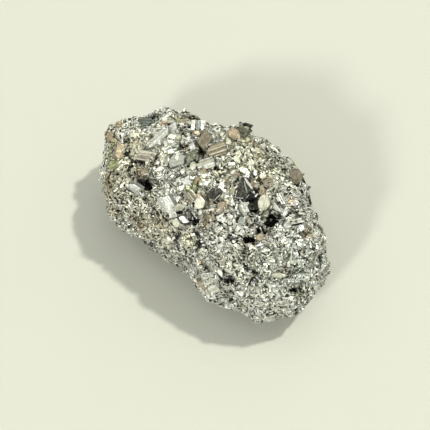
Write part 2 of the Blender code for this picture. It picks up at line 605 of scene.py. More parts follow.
@dataclass(frozen=True)
class FloorFinish:
    """Pale matt paint with a faint mottle.

    Attributes:
        name: The material's name.
        colour: Its colour.
        rough: Roughness.
        mottle: How far the mottle darkens it.
        swirls: How many swirls of the mottle a metre holds.
    """

    name: str = "pale_floor"
    colour: Colour = (0.41, 0.415, 0.362)
    rough: float = 0.7
    mottle: float = 0.04
    swirls: float = 25.0

    def build(self) -> bpy.types.Material:
        """Make the material.

        Returns:
            The material.
        """
        material, graph, place = new_finish(self.name)
        darker = tuple(part * 0.5 for part in self.colour)
        cloud = graph.noise(place, self.swirls, detail=5.0)
        graph.shade(graph.tinted(cloud * self.mottle, self.colour, darker, "MIX"), 0.0, self.rough)
        return material


# ---------------------------------------------------------------- meshes

def new_object(name: str, form: bmesh.types.BMesh) -> bpy.types.Object:
    """Make an object from a bmesh, which is freed, and link it.

    Args:
        name: The object's name.
        form: The shape, in metres.

    Returns:
        The object.
    """
    mesh = bpy.data.meshes.new(name)
    form.to_mesh(mesh)
    form.free()
    item = bpy.data.objects.new(name, mesh)
    bpy.context.scene.collection.objects.link(item)
    return item


def settle(item: bpy.types.Object) -> None:
    """Turn an object's evaluated result into its plain mesh and drop its modifiers.

    Args:
        item: The object.
    """
    graph = bpy.context.evaluated_depsgraph_get()
    graph.update()
    mesh = bpy.data.meshes.new_from_object(item.evaluated_get(graph), depsgraph=graph)
    mesh.name = item.name
    old = item.data
    item.modifiers.clear()
    item.data = mesh
    bpy.data.meshes.remove(old)


def dress(item: bpy.types.Object, material: bpy.types.Material) -> bpy.types.Object:
    """Hand a finished piece to the frame.

    Args:
        item: The piece.
        material: Its finish.

    Returns:
        The piece.
    """
    item.data.materials.clear()
    item.data.materials.append(material)
    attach(item, BODY)
    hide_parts(NODE)
    item.data.calc_loop_triangles()
    LOG.info("%s: %d triangles", item.name, len(item.data.loop_triangles))
    return item


@dataclass
class LumpSurface:
    """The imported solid's surface, to place things on.

    Attributes:
        view: The camera that places are named from.
        tree: The surface, indexed.
    """

    view: ViewPoint
    tree: BVHTree = field(init=False)

    OUTLINE_PROUD = 0.14 * MM
    EDGE_ON = 0.7
    SAME_PLACE = 1e-7

    def __post_init__(self) -> None:
        """Merge a copy of the solid's loose triangles and index it."""
        form = self.merged()
        self.tree = BVHTree.FromBMesh(form)
        form.free()

    def merged(self) -> bmesh.types.BMesh:
        """Copy the solid and merge its loose triangles.

        Returns:
            The copy, in metres, for the caller to free.
        """
        form = bmesh.new()
        form.from_mesh(frame["nodes"][NODE].data)
        bmesh.ops.remove_doubles(form, verts=form.verts, dist=self.SAME_PLACE)
        return form

    def seen_at(self, across: float, down: float) -> tuple[Vector, Vector] | None:
        """The place on the lump that a point of the picture shows.

        Args:
            across: Picture units from the left edge.
            down: Picture units from the top edge.

        Returns:
            The place in metres and the way it faces, or None where the lump isn't.
        """
        place, normal, _, _ = self.tree.ray_cast(self.view.place(), self.view.ray(across, down))
        return (place, normal) if place else None

    def press(self, mesh: bpy.types.Mesh) -> None:
        """Press flat what stands out of the lump along its outline.

        Args:
            mesh: The mesh whose vertices are moved.
        """
        back = self.view.axes()[2]
        for vertex in mesh.vertices:
            place, normal, _, _ = self.tree.find_nearest(vertex.co)
            excess = (vertex.co - place).dot(normal) - self.OUTLINE_PROUD
            if excess > 0 and abs(normal.dot(back)) < self.EDGE_ON:
                vertex.co -= normal * excess

    def hidden(self, place: Vector, cover: float) -> bool:
        """Whether the lump hides a place from the camera.

        Args:
            place: A point, in metres.
            cover: Least depth of the lump in front of it, in metres.

        Returns:
            True where it is hidden.
        """
        eye = self.view.place()
        seen = self.tree.ray_cast(eye, (place - eye).normalized())[0]
        return seen is not None and (place - eye).length - (seen - eye).length > cover


@dataclass(frozen=True)
class Spot:
    """A round place on the lump.

    Attributes:
        across: Where its middle shows in the camera's picture, from the left.
        down: The same, from the top.
        radius: Half its width.
    """

    across: float
    down: float
    radius: float


@dataclass(frozen=True)
class Pit(Spot):
    """A gap between crystals, sunk into the core and painted dark inside as painted shade."""


@dataclass(frozen=True)
class Zone(Spot):
    """A patch whose grains and core take a colour of its own; on some patches that colour is partly painted
    shade.

    Attributes:
        colour: What it multiplies the metal's colour by.
    """

    colour: Colour


@dataclass(frozen=True)
class Boss(Spot):
    """A rounded swelling.

    Attributes:
        height: How far it stands out.
    """

    height: float


@dataclass(frozen=True)
class Crack:
    """A line between crystals, made of small pits and painted dark as painted shade.

    Attributes:
        course: The places in the camera's picture that it runs through, from the left and the top.
        radius: Half its width.
    """

    course: tuple[tuple[float, float], ...]
    radius: float = 0.32

    STEP = 1.6

    def pits(self) -> list[Pit]:
        """Turn the crack into small pits.

        Returns:
            The pits, in a row along its course.
        """
        row = []
        for (left, top), (right, bottom) in zip(self.course, self.course[1:]):
            wide, tall = right - left, bottom - top
            count = max(1, round(math.hypot(wide, tall) / self.STEP))
            row += [Pit(left + wide * part / count, top + tall * part / count, self.radius)
                    for part in range(count + 1)]
        return row


PITS = (
    Pit(252, 194, 1.3), Pit(253, 201, 1.6), Pit(256, 209, 1.4), Pit(265, 222, 1.5), Pit(272, 219, 1.6),
    Pit(261, 228, 1.0), Pit(278, 217, 1.0), Pit(140, 183, 0.8), Pit(145, 186, 1.15), Pit(150, 188, 0.6),
    Pit(222, 278, 0.9), Pit(229, 281, 0.85), Pit(201, 152, 0.9), Pit(200, 158, 0.9), Pit(216, 167, 0.9),
    Pit(193, 222, 1.0), Pit(248, 240, 1.0), Pit(298, 215, 1.1), Pit(293, 291, 0.45), Pit(299, 290, 0.5),
    Pit(303, 294, 0.35), Pit(176, 247, 0.8), Pit(197, 246, 0.8), Pit(182, 145, 0.6), Pit(188, 143, 0.6),
    Pit(324, 259, 0.9),
)

CRACKS = (
    Crack(((131, 160), (139, 161), (147, 164), (157, 166))),
    Crack(((144, 116), (150, 117), (156, 115), (163, 116)), 0.4),
    Crack(((124, 132), (129, 142), (127, 153), (119, 160))),
    Crack(((177, 233), (174, 241), (177, 249), (183, 253)), 0.4),
    Crack(((195, 231), (200, 239), (199, 247), (194, 253)), 0.4),
    Crack(((179, 230), (186, 227), (194, 229)), 0.25),
    Crack(((207, 252), (213, 258), (218, 266), (222, 276)), 0.28),
    Crack(((243, 252), (244, 262), (247, 270), (256, 274)), 0.28),
    Crack(((268, 279), (277, 281), (285, 279)), 0.28),
    Crack(((231, 240), (240, 236), (249, 241)), 0.3),
    Crack(((203, 148), (205, 153), (200, 160))),
    Crack(((206, 160), (214, 163), (219, 169))),
    Crack(((236, 173), (233, 184), (236, 196), (243, 203)), 0.28),
    Crack(((206, 190), (208, 200), (214, 204), (222, 200)), 0.28),
    Crack(((285, 168), (292, 167), (303, 175), (306, 184)), 0.3),
    Crack(((150, 205), (158, 214), (166, 222)), 0.3),
    Crack(((178, 214), (186, 210), (190, 216)), 0.35),
    Crack(((296, 250), (303, 258), (312, 262)), 0.26),
    Crack(((287, 288), (293, 290), (306, 292)), 0.3),
    Crack(((221, 270), (223, 279), (234, 283)), 0.46),
    Crack(((223, 279), (218, 285)), 0.42),
    Crack(((272, 211), (277, 216), (284, 218), (291, 212), (300, 206)), 0.3),
)

# Most patches are tarnish colour; the dark ones in the hollow at 146, 121, on the west flank at 110, 150,
# at 106, 185, at 110, 210 and at 138, 226, and in the pocket at 297, 292 are partly painted shade.
ZONES = (
    Zone(125, 165, 11.0, (1.0, 0.97, 0.86)), Zone(150, 225, 10.0, (1.0, 0.965, 0.88)),
    Zone(206, 219, 2.6, (0.62, 0.53, 0.41)), Zone(279, 149, 4.2, (0.80, 0.75, 0.63)),
    Zone(158, 224, 2.2, (0.64, 0.56, 0.45)), Zone(231, 162, 2.4, (0.74, 0.72, 0.60)),
    Zone(300, 262, 8.0, (0.88, 0.93, 0.94)), Zone(255, 160, 12.0, (0.94, 0.93, 0.83)),
    Zone(195, 140, 10.0, (0.96, 0.96, 0.95)), Zone(146, 121, 3.2, (0.42, 0.48, 0.46)),
    Zone(110, 150, 4.5, (0.62, 0.62, 0.44)), Zone(106, 185, 5.0, (0.74, 0.66, 0.53)),
    Zone(110, 210, 4.0, (0.82, 0.75, 0.64)), Zone(141, 173, 2.0, (0.55, 0.46, 0.36)),
    Zone(214, 138, 2.2, (1.0, 1.08, 1.12)), Zone(262, 176, 2.6, (0.62, 0.54, 0.40)),
    Zone(222, 205, 2.4, (0.66, 0.56, 0.46)), Zone(187, 240, 3.0, (1.04, 1.01, 0.88)),
    Zone(138, 226, 2.6, (0.68, 0.60, 0.50)), Zone(249, 241, 2.4, (0.50, 0.46, 0.36)),
    Zone(274, 254, 2.6, (0.62, 0.60, 0.48)), Zone(309, 232, 2.6, (0.66, 0.60, 0.48)),
    Zone(297, 292, 2.2, (0.45, 0.47, 0.38)), Zone(325, 262, 2.4, (0.72, 0.80, 0.78)),
    Zone(172, 150, 3.0, (1.0, 1.05, 0.98)), Zone(238, 262, 5.0, (1.04, 1.04, 0.98)),
    Zone(275, 265, 7.0, (0.92, 0.94, 0.92)), Zone(180, 118, 3.5, (0.80, 0.80, 0.62)),
    Zone(192, 186, 2.8, (0.62, 0.65, 0.46)),
)

BOSSES = (Boss(187, 240, 2.9, 0.55), Boss(283, 204, 3.2, 0.6), Boss(150, 212, 3.0, 0.4),
          Boss(232, 217, 2.6, 0.35))


@dataclass
class Marks:
    """All the pits, zones and bosses, found on the lump.

    Attributes:
        surface: The lump.
        pits: The pits, with the cracks' own.
        zones: The zones, the broad ones first, because a later one covers an earlier one.
        bosses: The bosses.
        depth: How deep a pit goes for its radius.
        holes: Each pit's place and radius, in metres.
        patches: Each zone's place, radius and colour.
        swellings: Each boss's place, radius and height.
        tree: The pits' places, indexed.
    """

    surface: LumpSurface
    pits: Sequence[Pit]
    zones: Sequence[Zone]
    bosses: Sequence[Boss]
    depth: float = 1.6
    holes: list[tuple[Vector, float]] = field(init=False)
    patches: list[tuple[Vector, float, Colour]] = field(init=False)
    swellings: list[tuple[Vector, float, float]] = field(init=False)
    tree: KDTree = field(init=False)

    NEAREST = 4
    PIT_SPREAD = 1.5
    ZONE_EDGE = 1.6
    BOSS_FLATNESS = 4

    def __post_init__(self) -> None:
        """Find where each is."""
        self.holes = [(place, pit.radius * MM) for place, pit in self.found(self.pits)]
        self.patches = [(place, zone.radius * MM, zone.colour) for place, zone in self.found(self.zones)]
        self.swellings = [(place, boss.radius * MM, boss.height) for place, boss in self.found(self.bosses)]
        self.tree = KDTree(len(self.holes))
        for number, (middle, _) in enumerate(self.holes):
            self.tree.insert(middle, number)
        self.tree.balance()

    def found(self, spots: Sequence[Spot]) -> list[tuple[Vector, Spot]]:
        """The spots that lie on the lump, each with its place."""
        seen = ((self.surface.seen_at(spot.across, spot.down), spot) for spot in spots)
        return [(hit[0], spot) for hit, spot in seen if hit]

    def share(self, place: Vector) -> tuple[float, float]:
        """How far inside a pit a place is.

        Args:
            place: A point, in metres.

        Returns:
            1 at a pit's middle down to 0 outside it, and that pit's radius in metres.
        """
        best, size = 0.0, 0.0
        for _, number, away in self.tree.find_n(place, self.NEAREST):
            radius = self.holes[number][1]
            inside = 1.0 - away / (radius * self.PIT_SPREAD)
            if inside > best:
                best, size = inside, radius
        return best, size

    def tinge(self, place: Vector) -> Colour:
        """What a place's zones multiply its colour by.

        Args:
            place: A point, in metres.

        Returns:
            The colour, white outside all zones.
        """
        colour = Vector((1.0, 1.0, 1.0))
        for middle, radius, own in self.patches:
            part = min(1.0, max(0.0, self.ZONE_EDGE * (1.0 - (place - middle).length / radius)))
            if part:
                colour = colour.lerp(Vector(own), part)
        return tuple(colour)

    def swell(self, place: Vector) -> float:
        """How far the bosses lift a place.

        Args:
            place: A point, in metres.

        Returns:
            The height in millimetres.
        """
        rise = 0.0
        for middle, radius, height in self.swellings:
            rise = max(rise, height * (1.0 - ((place - middle).length / radius) ** self.BOSS_FLATNESS))
        return rise

    def pit_marks(self) -> bpy.types.Object:
        """Mark the pits for the grain trees.

        Returns:
            An object with a loose vertex at each pit, and the pit's radius as its attribute.
        """
        form = bmesh.new()
        radius_layer = form.verts.layers.float.new("radius")
        for middle, radius in self.holes:
            form.verts.new(middle)[radius_layer] = radius
        return new_object("pit_marks", form)


@dataclass(frozen=True)
class Facets:
    """Flat crystal faces that meet at creases, from the cells of a Voronoi pattern.

    Attributes:
        size: How wide a face is.
        slope: How steeply it may lean, as rise over run.
        limit: Most that a place on it stands above or below the lump's surface.
        crease: How deep the crease round it is.
    """

    size: float
    slope: float
    limit: float
    crease: float

    SHUFFLE = 7.0
    CREASE_WIDTH = 0.22

    def height(self, place: Vector, normal: Vector) -> tuple[float, float]:
        """How high a place of the lump's surface comes to lie.

        Args:
            place: The place, in metres.
            normal: The way that the surface faces there.

        Returns:
            The height in millimetres, and how deep in a crease the place is, from 0 to 1.
        """
        distances, points = noise.voronoi(place / (self.size * MM))
        way = noise.cell_vector(points[0] * self.SHUFFLE) * 2.0 - Vector((1.0, 1.0, 1.0))
        across = way - normal * way.dot(normal)
        rise = (points[0] * self.size - place / MM).dot(across) * self.slope
        cleft = max(0.0, 1.0 - (distances[1] - distances[0]) / self.CREASE_WIDTH)
        return max(-self.limit, min(self.limit, rise)) - cleft * self.crease, cleft


@dataclass
class Core:
    """The lump's body under the grains.

    Attributes:
        surface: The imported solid.
        marks: Its pits, zones and bosses.
        voxel: Edge of the even mesh that it is made of.
        sink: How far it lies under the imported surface.
        broad: The large crystal faces that it is broken into.
        fine: The small ones.
    """

    surface: LumpSurface
    marks: Marks
    voxel: float = 0.34
    sink: float = 0.35
    broad: Facets = Facets(3.2, 0.42, 0.55, 0.3)
    fine: Facets = Facets(1.3, 0.5, 0.3, 0.15)

    PIT_GLOOM, BROAD_GLOOM, FINE_GLOOM = 3.0, 0.3, 0.15
    PIT_WALL = 2.0

    def build(self) -> bpy.types.Object:
        """Make the core.

        Returns:
            The core object.
        """
        core = new_object("pyrite_core", self.surface.merged())
        remesh = core.modifiers.new("even", "REMESH")
        remesh.mode = "VOXEL"
        remesh.voxel_size = self.voxel * MM
        settle(core)
        form = bmesh.new()
        form.from_mesh(core.data)
        form.normal_update()
        gloom = form.verts.layers.float.new("gloom")
        zone = form.verts.layers.float_color.new("zone")
        moves = []
        low, high = SEAT_ZONE
        for vertex in form.verts:
            calm = max(0.0, min(1.0, (vertex.co.z / MM - low) / (high - low)))
            broad, broad_cleft = self.broad.height(vertex.co, vertex.normal)
            fine, fine_cleft = self.fine.height(vertex.co, vertex.normal)
            inside, radius = self.marks.share(vertex.co)
            vertex[zone] = (*self.marks.tinge(vertex.co), 1.0)
            # Painted shade: black in the pits, darker along the creases between facets.
            vertex[gloom] = min(1.0, inside * self.PIT_GLOOM + broad_cleft * self.BROAD_GLOOM
                                + fine_cleft * self.FINE_GLOOM)
            hole = min(1.0, inside * self.PIT_WALL) * radius * self.marks.depth
            relief = broad + fine + self.marks.swell(vertex.co)
            moves.append(vertex.normal * ((relief * calm - self.sink) * MM - hole))
        for vertex, move in zip(form.verts, moves):
            vertex.co += move
        form.to_mesh(core.data)
        form.free()
        self.surface.press(core.data)
        return dress(core, CoreMetal().build())


class Draw(Enum):
    """What each grain leaves to chance; the number keeps one draw apart from the others."""

    STEP = 1
    STRAY = 2
    WILD_LEAN = 3
    OWN_LEAN = 4
    LENGTH = 5
    WIDTH = 6
    SHARED = 7
    TINT = 8
    PIT_EDGE = 9
    SHAPE = 10
    TONE = 11
    DEPTH = 12


class GrainTree:
    """The Geometry Nodes tree that strews grains over the core.

    Every cell of a Voronoi pattern holds one group, whose grains lie along one direction, so that
    they read as the growth steps of one crystal face.
    """

    SOCKETS = {
        "Spacing": "Float", "Shortest": "Float", "Longest": "Float", "Narrowest": "Float",
        "Widest": "Float", "Depth": "Float", "Group": "Float", "Own Tilt": "Float", "Spin": "Float",
        "Strays": "Float", "Step": "Float", "Rise": "Float", "Coarse Bias": "Float", "Seed": "Int",
        "Shapes": "Collection", "Shape Count": "Int", "Large Crystals": "Object",
        "Pit Marks": "Object", "Finish": "Material",
    }
    EAST = (2 * MM, 16 * MM)
    SOUTH = (-7 * MM, -14 * MM)
    PATCH_SWIRLS = 110.0
    PATCH_SHARE = 0.55
    MOST_DENSE = 4e7
    CRYSTAL_REACH = (-0.8 * MM, 4.0 * MM)
    PIT_EDGE = (0.7, 1.05)
    STRAY_LEAN = (0.6, 0.6, math.pi)
    SMALL_RATHER = 1.5
    DEPTHS = (0.7, 1.3)
    LEAST_GIRTH, GIRTH_RANGE = 0.7, 0.6
    SHARED_TINT = 0.5
    SHARED_SLICE = 7.0
    SEAT_STEP, SEAT_RISE = 0.3, 0.5
    LEAN_ACROSS = 0.5

    def __init__(self, name: str) -> None:
        """Start the tree with its inputs.

        Args:
            name: The tree's name.
        """
        self.tree = bpy.data.node_groups.new(name, "GeometryNodeTree")
        self.graph = Graph(self.tree)
        sides = self.tree.interface
        sides.new_socket("Geometry", in_out="INPUT", socket_type="NodeSocketGeometry")
        for socket, kind in self.SOCKETS.items():
            sides.new_socket(socket, in_out="INPUT", socket_type=f"NodeSocket{kind}")
        sides.new_socket("Geometry", in_out="OUTPUT", socket_type="NodeSocketGeometry")
        self.given = self.graph.node("NodeGroupInput")
        self.where = self.graph.node("GeometryNodeInputPosition")

    def seed(self, draw: Draw) -> Link:
        """The seed of one draw."""
        return self.given.at("Seed") + float(draw.value)

    def chance(self, draw: Draw, low: Number = 0.0, high: Number = 1.0) -> Link:
        """A random number from low to high for each grain."""
        return self.graph.node("FunctionNodeRandomValue", {"data_type": "FLOAT", "output": 1},
                               {2: low, 3: high, "Seed": self.seed(draw)})

    def chance_vector(self, draw: Draw) -> Link:
        """A random vector for each grain, from -1 to 1 on each axis."""
        return self.graph.node("FunctionNodeRandomValue", {"data_type": "FLOAT_VECTOR"},
                               {0: (-1.0,) * 3, 1: (1.0,) * 3, "Seed": self.seed(draw)})

    def chance_size(self, draw: Draw, least: str, most: str) -> Link:
        """A random size for each grain between two of the tree's inputs, rather small than large."""
        low, high = self.given.at(least), self.given.at(most)
        return low + (high - low) * (self.chance(draw) ** self.SMALL_RATHER)

    def attribute(self, kind: str, name: str) -> Link:
        """An attribute of the geometry at hand."""
        return self.graph.node("GeometryNodeInputNamedAttribute", {"data_type": kind}, {"Name": name})

    def captured(self, geometry: Link, **values: tuple[str, Link]) -> list[Link]:
        """Fix values on a geometry's points as they are at this step.

        Args:
            geometry: The geometry.
            values: Name to the kind and the value.

        Returns:
            The geometry, and then each value.
        """
        made = self.graph.node("GeometryNodeCaptureAttribute", {"domain": "POINT"}, {0: geometry})
        node = made.socket.node
        for number, (name, (kind, value)) in enumerate(values.items()):
            node.capture_items.new(kind, name)
            self.graph.feed(node.inputs[number + 1], value)
        return [made.at(number) for number in range(len(values) + 1)]

    def calm(self) -> Link:
        """Find how rough the lump may be at each place.

        Returns:
            0 at the seat, where grains lie flat, up to 1 a little above it.
        """
        height = self.graph.node("ShaderNodeSeparateXYZ", {"output": "Z"}, {0: self.where})
        low, high = SEAT_ZONE
        return self.graph.remap(height, low * MM, high * MM)

    def strewn(self) -> list[Link]:
        """Strew points over the core, fewer where a coarse layer gives way to the finer ones.

        Returns:
            The points, the smoothed way that the core faces at each, and its zone's colour.
        """
        graph, given = self.graph, self.given
        normal = graph.node("GeometryNodeBlurAttribute", {"data_type": "FLOAT_VECTOR"},
                            {0: graph.node("GeometryNodeInputNormal"), "Iterations": 2})
        lump, facing, tinge = self.captured(given, facing=("VECTOR", normal),
                                            tinge=("RGBA", self.attribute("FLOAT_COLOR", "zone")))
        apart = graph.node("ShaderNodeSeparateXYZ", {}, {0: self.where})
        east = graph.remap(apart, *self.EAST)
        south = graph.remap(apart.at("Y"), *self.SOUTH)
        patch = graph.remap(graph.noise(self.where, self.PATCH_SWIRLS), low=0.42, high=0.52,
                            first=self.PATCH_SHARE, last=0.0)
        keep = graph.node("ShaderNodeMath", {"operation": "SUBTRACT", "use_clamp": True},
                          {0: 1.0, 1: given.at("Coarse Bias") * (east + south + patch)})
        points = graph.node("GeometryNodeDistributePointsOnFaces", {"distribute_method": "POISSON"}, {
            "Mesh": lump, "Distance Min": given.at("Spacing"), "Density Max": self.MOST_DENSE,
            "Density Factor": keep, "Seed": given.at("Seed"),
        })
        return [points, graph.vector("NORMALIZE", facing), tinge]

    def thinned(self, points: Link, facing: Link) -> Link:
        """Take away the points that lie in a pit or under a large crystal.

        Args:
            points: The points.
            facing: The way that the surface faces at each.

        Returns:
            The points that are left.
        """
        graph = self.graph
        crystals, marks = (
            graph.node("GeometryNodeObjectInfo", {"output": "Geometry"}, {"Object": self.given.at(name)})
            for name in ("Large Crystals", "Pit Marks"))
        below, above = self.CRYSTAL_REACH
        covered = graph.node("GeometryNodeRaycast", {}, {
            "Target Geometry": crystals, "Ray Direction": facing, "Ray Length": above,
            "Source Position": graph.vector("MULTIPLY_ADD", facing, (below,) * 3, self.where),
        })
        near = graph.node("GeometryNodeSampleNearest", {"domain": "POINT"}, {"Geometry": marks})
        radius, middle = (graph.node("GeometryNodeSampleIndex", {"data_type": kind, "domain": "POINT"},
                                     {"Geometry": marks, "Index": near, "Value": value})
                          for kind, value in (("FLOAT", self.attribute("FLOAT", "radius")),
                                              ("FLOAT_VECTOR", self.where)))
        reach = radius * self.chance(Draw.PIT_EDGE, *self.PIT_EDGE)
        in_pit = graph.vector("DISTANCE", self.where, middle) < reach
        return graph.node("GeometryNodeDeleteGeometry", {"domain": "POINT"},
                          {"Geometry": points, "Selection": in_pit + covered})

    def grown(self, points: Link, facing: Link) -> list[Link]:
        """Settle how each grain stands, how big it is and what it draws for its colour.

        Args:
            points: The points.
            facing: The way that the surface faces at each.

        Returns:
            The points, and then the grains' offset, rotation, scale and tint.
        """
        graph, given = self.graph, self.given
        calm = self.calm()
        cell = graph.node("ShaderNodeTexVoronoi", {"output": "Color"},
                          {"Vector": self.where, "Scale": 1.0 / given.at("Group")})
        way = graph.vector("MULTIPLY_ADD", cell, (2.0, 2.0, 2.0), (-1.0, -1.0, -1.0))
        step_share = calm * (1.0 - self.SEAT_STEP) + self.SEAT_STEP
        step = given.at("Step") * self.chance(Draw.STEP, -1.0, 1.0) * step_share
        rise = given.at("Rise") * (calm * (1.0 - self.SEAT_RISE) + self.SEAT_RISE)
        offset = graph.vector("SCALE", facing, scale=step + rise)
        stray = self.chance(Draw.STRAY) < given.at("Strays")
        wild = graph.vector("MULTIPLY", self.chance_vector(Draw.WILD_LEAN), self.STRAY_LEAN)
        most = graph.node("ShaderNodeCombineXYZ", {}, {
            0: given.at("Own Tilt"), 1: given.at("Own Tilt") * self.LEAN_ACROSS, 2: given.at("Spin"),
        })
        own = graph.vector("MULTIPLY", self.chance_vector(Draw.OWN_LEAN), most)
        lean = graph.node("ShaderNodeMix", {"data_type": "VECTOR", "output": 1},
                          {0: stray, 4: own, 5: wild})
        tilt = graph.node("FunctionNodeEulerToRotation", {}, {0: graph.vector("SCALE", lean, scale=calm)})
        axes = graph.node("FunctionNodeAxesToRotation", {"primary_axis": "Z", "secondary_axis": "X"},
                          {0: facing, 1: way})
        turn = graph.node("FunctionNodeRotateRotation", {"rotation_space": "LOCAL"}, {0: axes, 1: tilt})
        home = cell.at("Position")
        bulk = graph.node("ShaderNodeTexWhiteNoise", {"noise_dimensions": "3D"}, {0: home})
        girth = self.LEAST_GIRTH + bulk * self.GIRTH_RANGE
        scale = graph.node("ShaderNodeCombineXYZ", {}, {
            0: self.chance_size(Draw.LENGTH, "Shortest", "Longest") * girth,
            1: self.chance_size(Draw.WIDTH, "Narrowest", "Widest") * girth,
            2: given.at("Depth") * self.chance(Draw.DEPTH, *self.DEPTHS),
        })
        shared = graph.node("ShaderNodeTexWhiteNoise", {"noise_dimensions": "4D"},
                            {0: home, 1: self.SHARED_SLICE})
        tint = graph.node("ShaderNodeMix", {"data_type": "FLOAT"}, {
            0: self.chance(Draw.SHARED) < self.SHARED_TINT, 2: shared, 3: self.chance(Draw.TINT),
        })
        return self.captured(points, offset=("VECTOR", offset), turn=("ROTATION", turn),
                             scale=("VECTOR", scale), tint=("FLOAT", tint))

    def mapped(self, solid: Link, side: Link) -> Link:
        """Lay every grain's faces in its own cell of a flat map.

        Args:
            solid: The grains.
            side: How many cells the map has along each side.

        Returns:
            The grains with their map.
        """
        graph = self.graph
        flat = graph.vector("ADD", *(self.attribute("FLOAT_VECTOR", name) for name in ("cell", "in_cell")))
        solid = graph.node("GeometryNodeStoreNamedAttribute", {"data_type": "FLOAT2", "domain": "CORNER"}, {
            "Geometry": solid, "Name": GRAIN_MAP, "Value": graph.vector("SCALE", flat, scale=1.0 / side),
        })
        for name in ("cell", "in_cell"):
            solid = graph.node("GeometryNodeRemoveAttribute", {}, {"Geometry": solid, "Name": name})
        return solid

    def build(self) -> bpy.types.GeometryNodeTree:
        """Put the whole tree together.

        Returns:
            The tree.
        """
        graph, given = self.graph, self.given
        points, facing, tinge = self.strewn()
        points = self.thinned(points, facing)
        points, offset, turn, scale, tint = self.grown(points, facing)
        shapes = graph.node("GeometryNodeCollectionInfo", {}, {
            "Collection": given.at("Shapes"), "Separate Children": True, "Reset Children": True,
        })
        pick = graph.node("FunctionNodeRandomValue", {"data_type": "INT", "output": 2},
                          {4: 0, 5: given.at("Shape Count") - 1.0, "Seed": self.seed(Draw.SHAPE)})
        grains = graph.node("GeometryNodeInstanceOnPoints", {}, {
            "Points": graph.node("GeometryNodeSetPosition", {}, {"Geometry": points, "Offset": offset}),
            "Instance": shapes, "Pick Instance": True, "Instance Index": pick,
            "Rotation": turn, "Scale": scale,
        })
        total = graph.node("GeometryNodeAttributeDomainSize",
                           {"component": "POINTCLOUD", "output": "Point Count"}, {0: points})
        side = graph.node("ShaderNodeMath", {"operation": "CEIL"}, {0: total ** 0.5})
        index = graph.node("GeometryNodeInputIndex")
        row = graph.node("ShaderNodeMath", {"operation": "FLOOR"}, {0: (index + 0.5) / side})
        corner = graph.node("ShaderNodeCombineXYZ", {}, {0: index - row * side, 1: row})
        for kind, name, value in (("FLOAT", "tint", tint), ("FLOAT", "tone", self.chance(Draw.TONE)),
                                  ("FLOAT_COLOR", "zone", tinge), ("FLOAT_VECTOR", "cell", corner)):
            grains = graph.node("GeometryNodeStoreNamedAttribute",
                                {"data_type": kind, "domain": "INSTANCE"},
                                {"Geometry": grains, "Name": name, "Value": value})
        solid = self.mapped(graph.node("GeometryNodeRealizeInstances", {}, {0: grains}), side)
        finished = graph.node("GeometryNodeSetMaterial", {},
                              {"Geometry": solid, "Material": given.at("Finish")})
        graph.node("NodeGroupOutput", {}, {0: finished})
        return self.tree


class Cut(Enum):
    """The shapes that a grain may have, as corners of a unit block whose top is at height 0."""

    HIP = ((-.5, -.5, -1), (.5, -.5, -1), (.5, .5, -1), (-.5, .5, -1), (-.3, 0, 0), (.3, 0, 0))
    WEDGE = ((-.5, -.5, -1), (.5, -.5, -1), (.5, .5, -1), (-.5, .5, -1), (-.5, .4, 0), (.45, .5, -.1))
    SPALL = ((-.5, 0, -.4), (.5, 0, -.5), (0, -.5, -.5), (0, .5, -.4), (-.1, .1, 0), (.1, -.1, -1))
    BLOCK = ((-.5, -.5, -1), (.5, -.5, -1), (.5, .5, -1), (-.5, .5, -1),
             (-.5, -.5, 0), (.5, -.5, 0), (.5, .5, 0), (-.5, .5, 0))

    def shape(self, shaker: random.Random, play: float = 0.09) -> bmesh.types.BMesh:
        """Make one uneven copy, in triangles.

        Args:
            shaker: The source of chance.
            play: Most that a corner moves along each axis.

        Returns:
            The shape, for the caller to free.
        """
        form = bmesh.new()
        for corner in self.value:
            form.verts.new([part + shaker.uniform(-play, play) for part in corner])
        bmesh.ops.convex_hull(form, input=form.verts)
        bmesh.ops.recalc_face_normals(form, faces=form.faces)
        return form


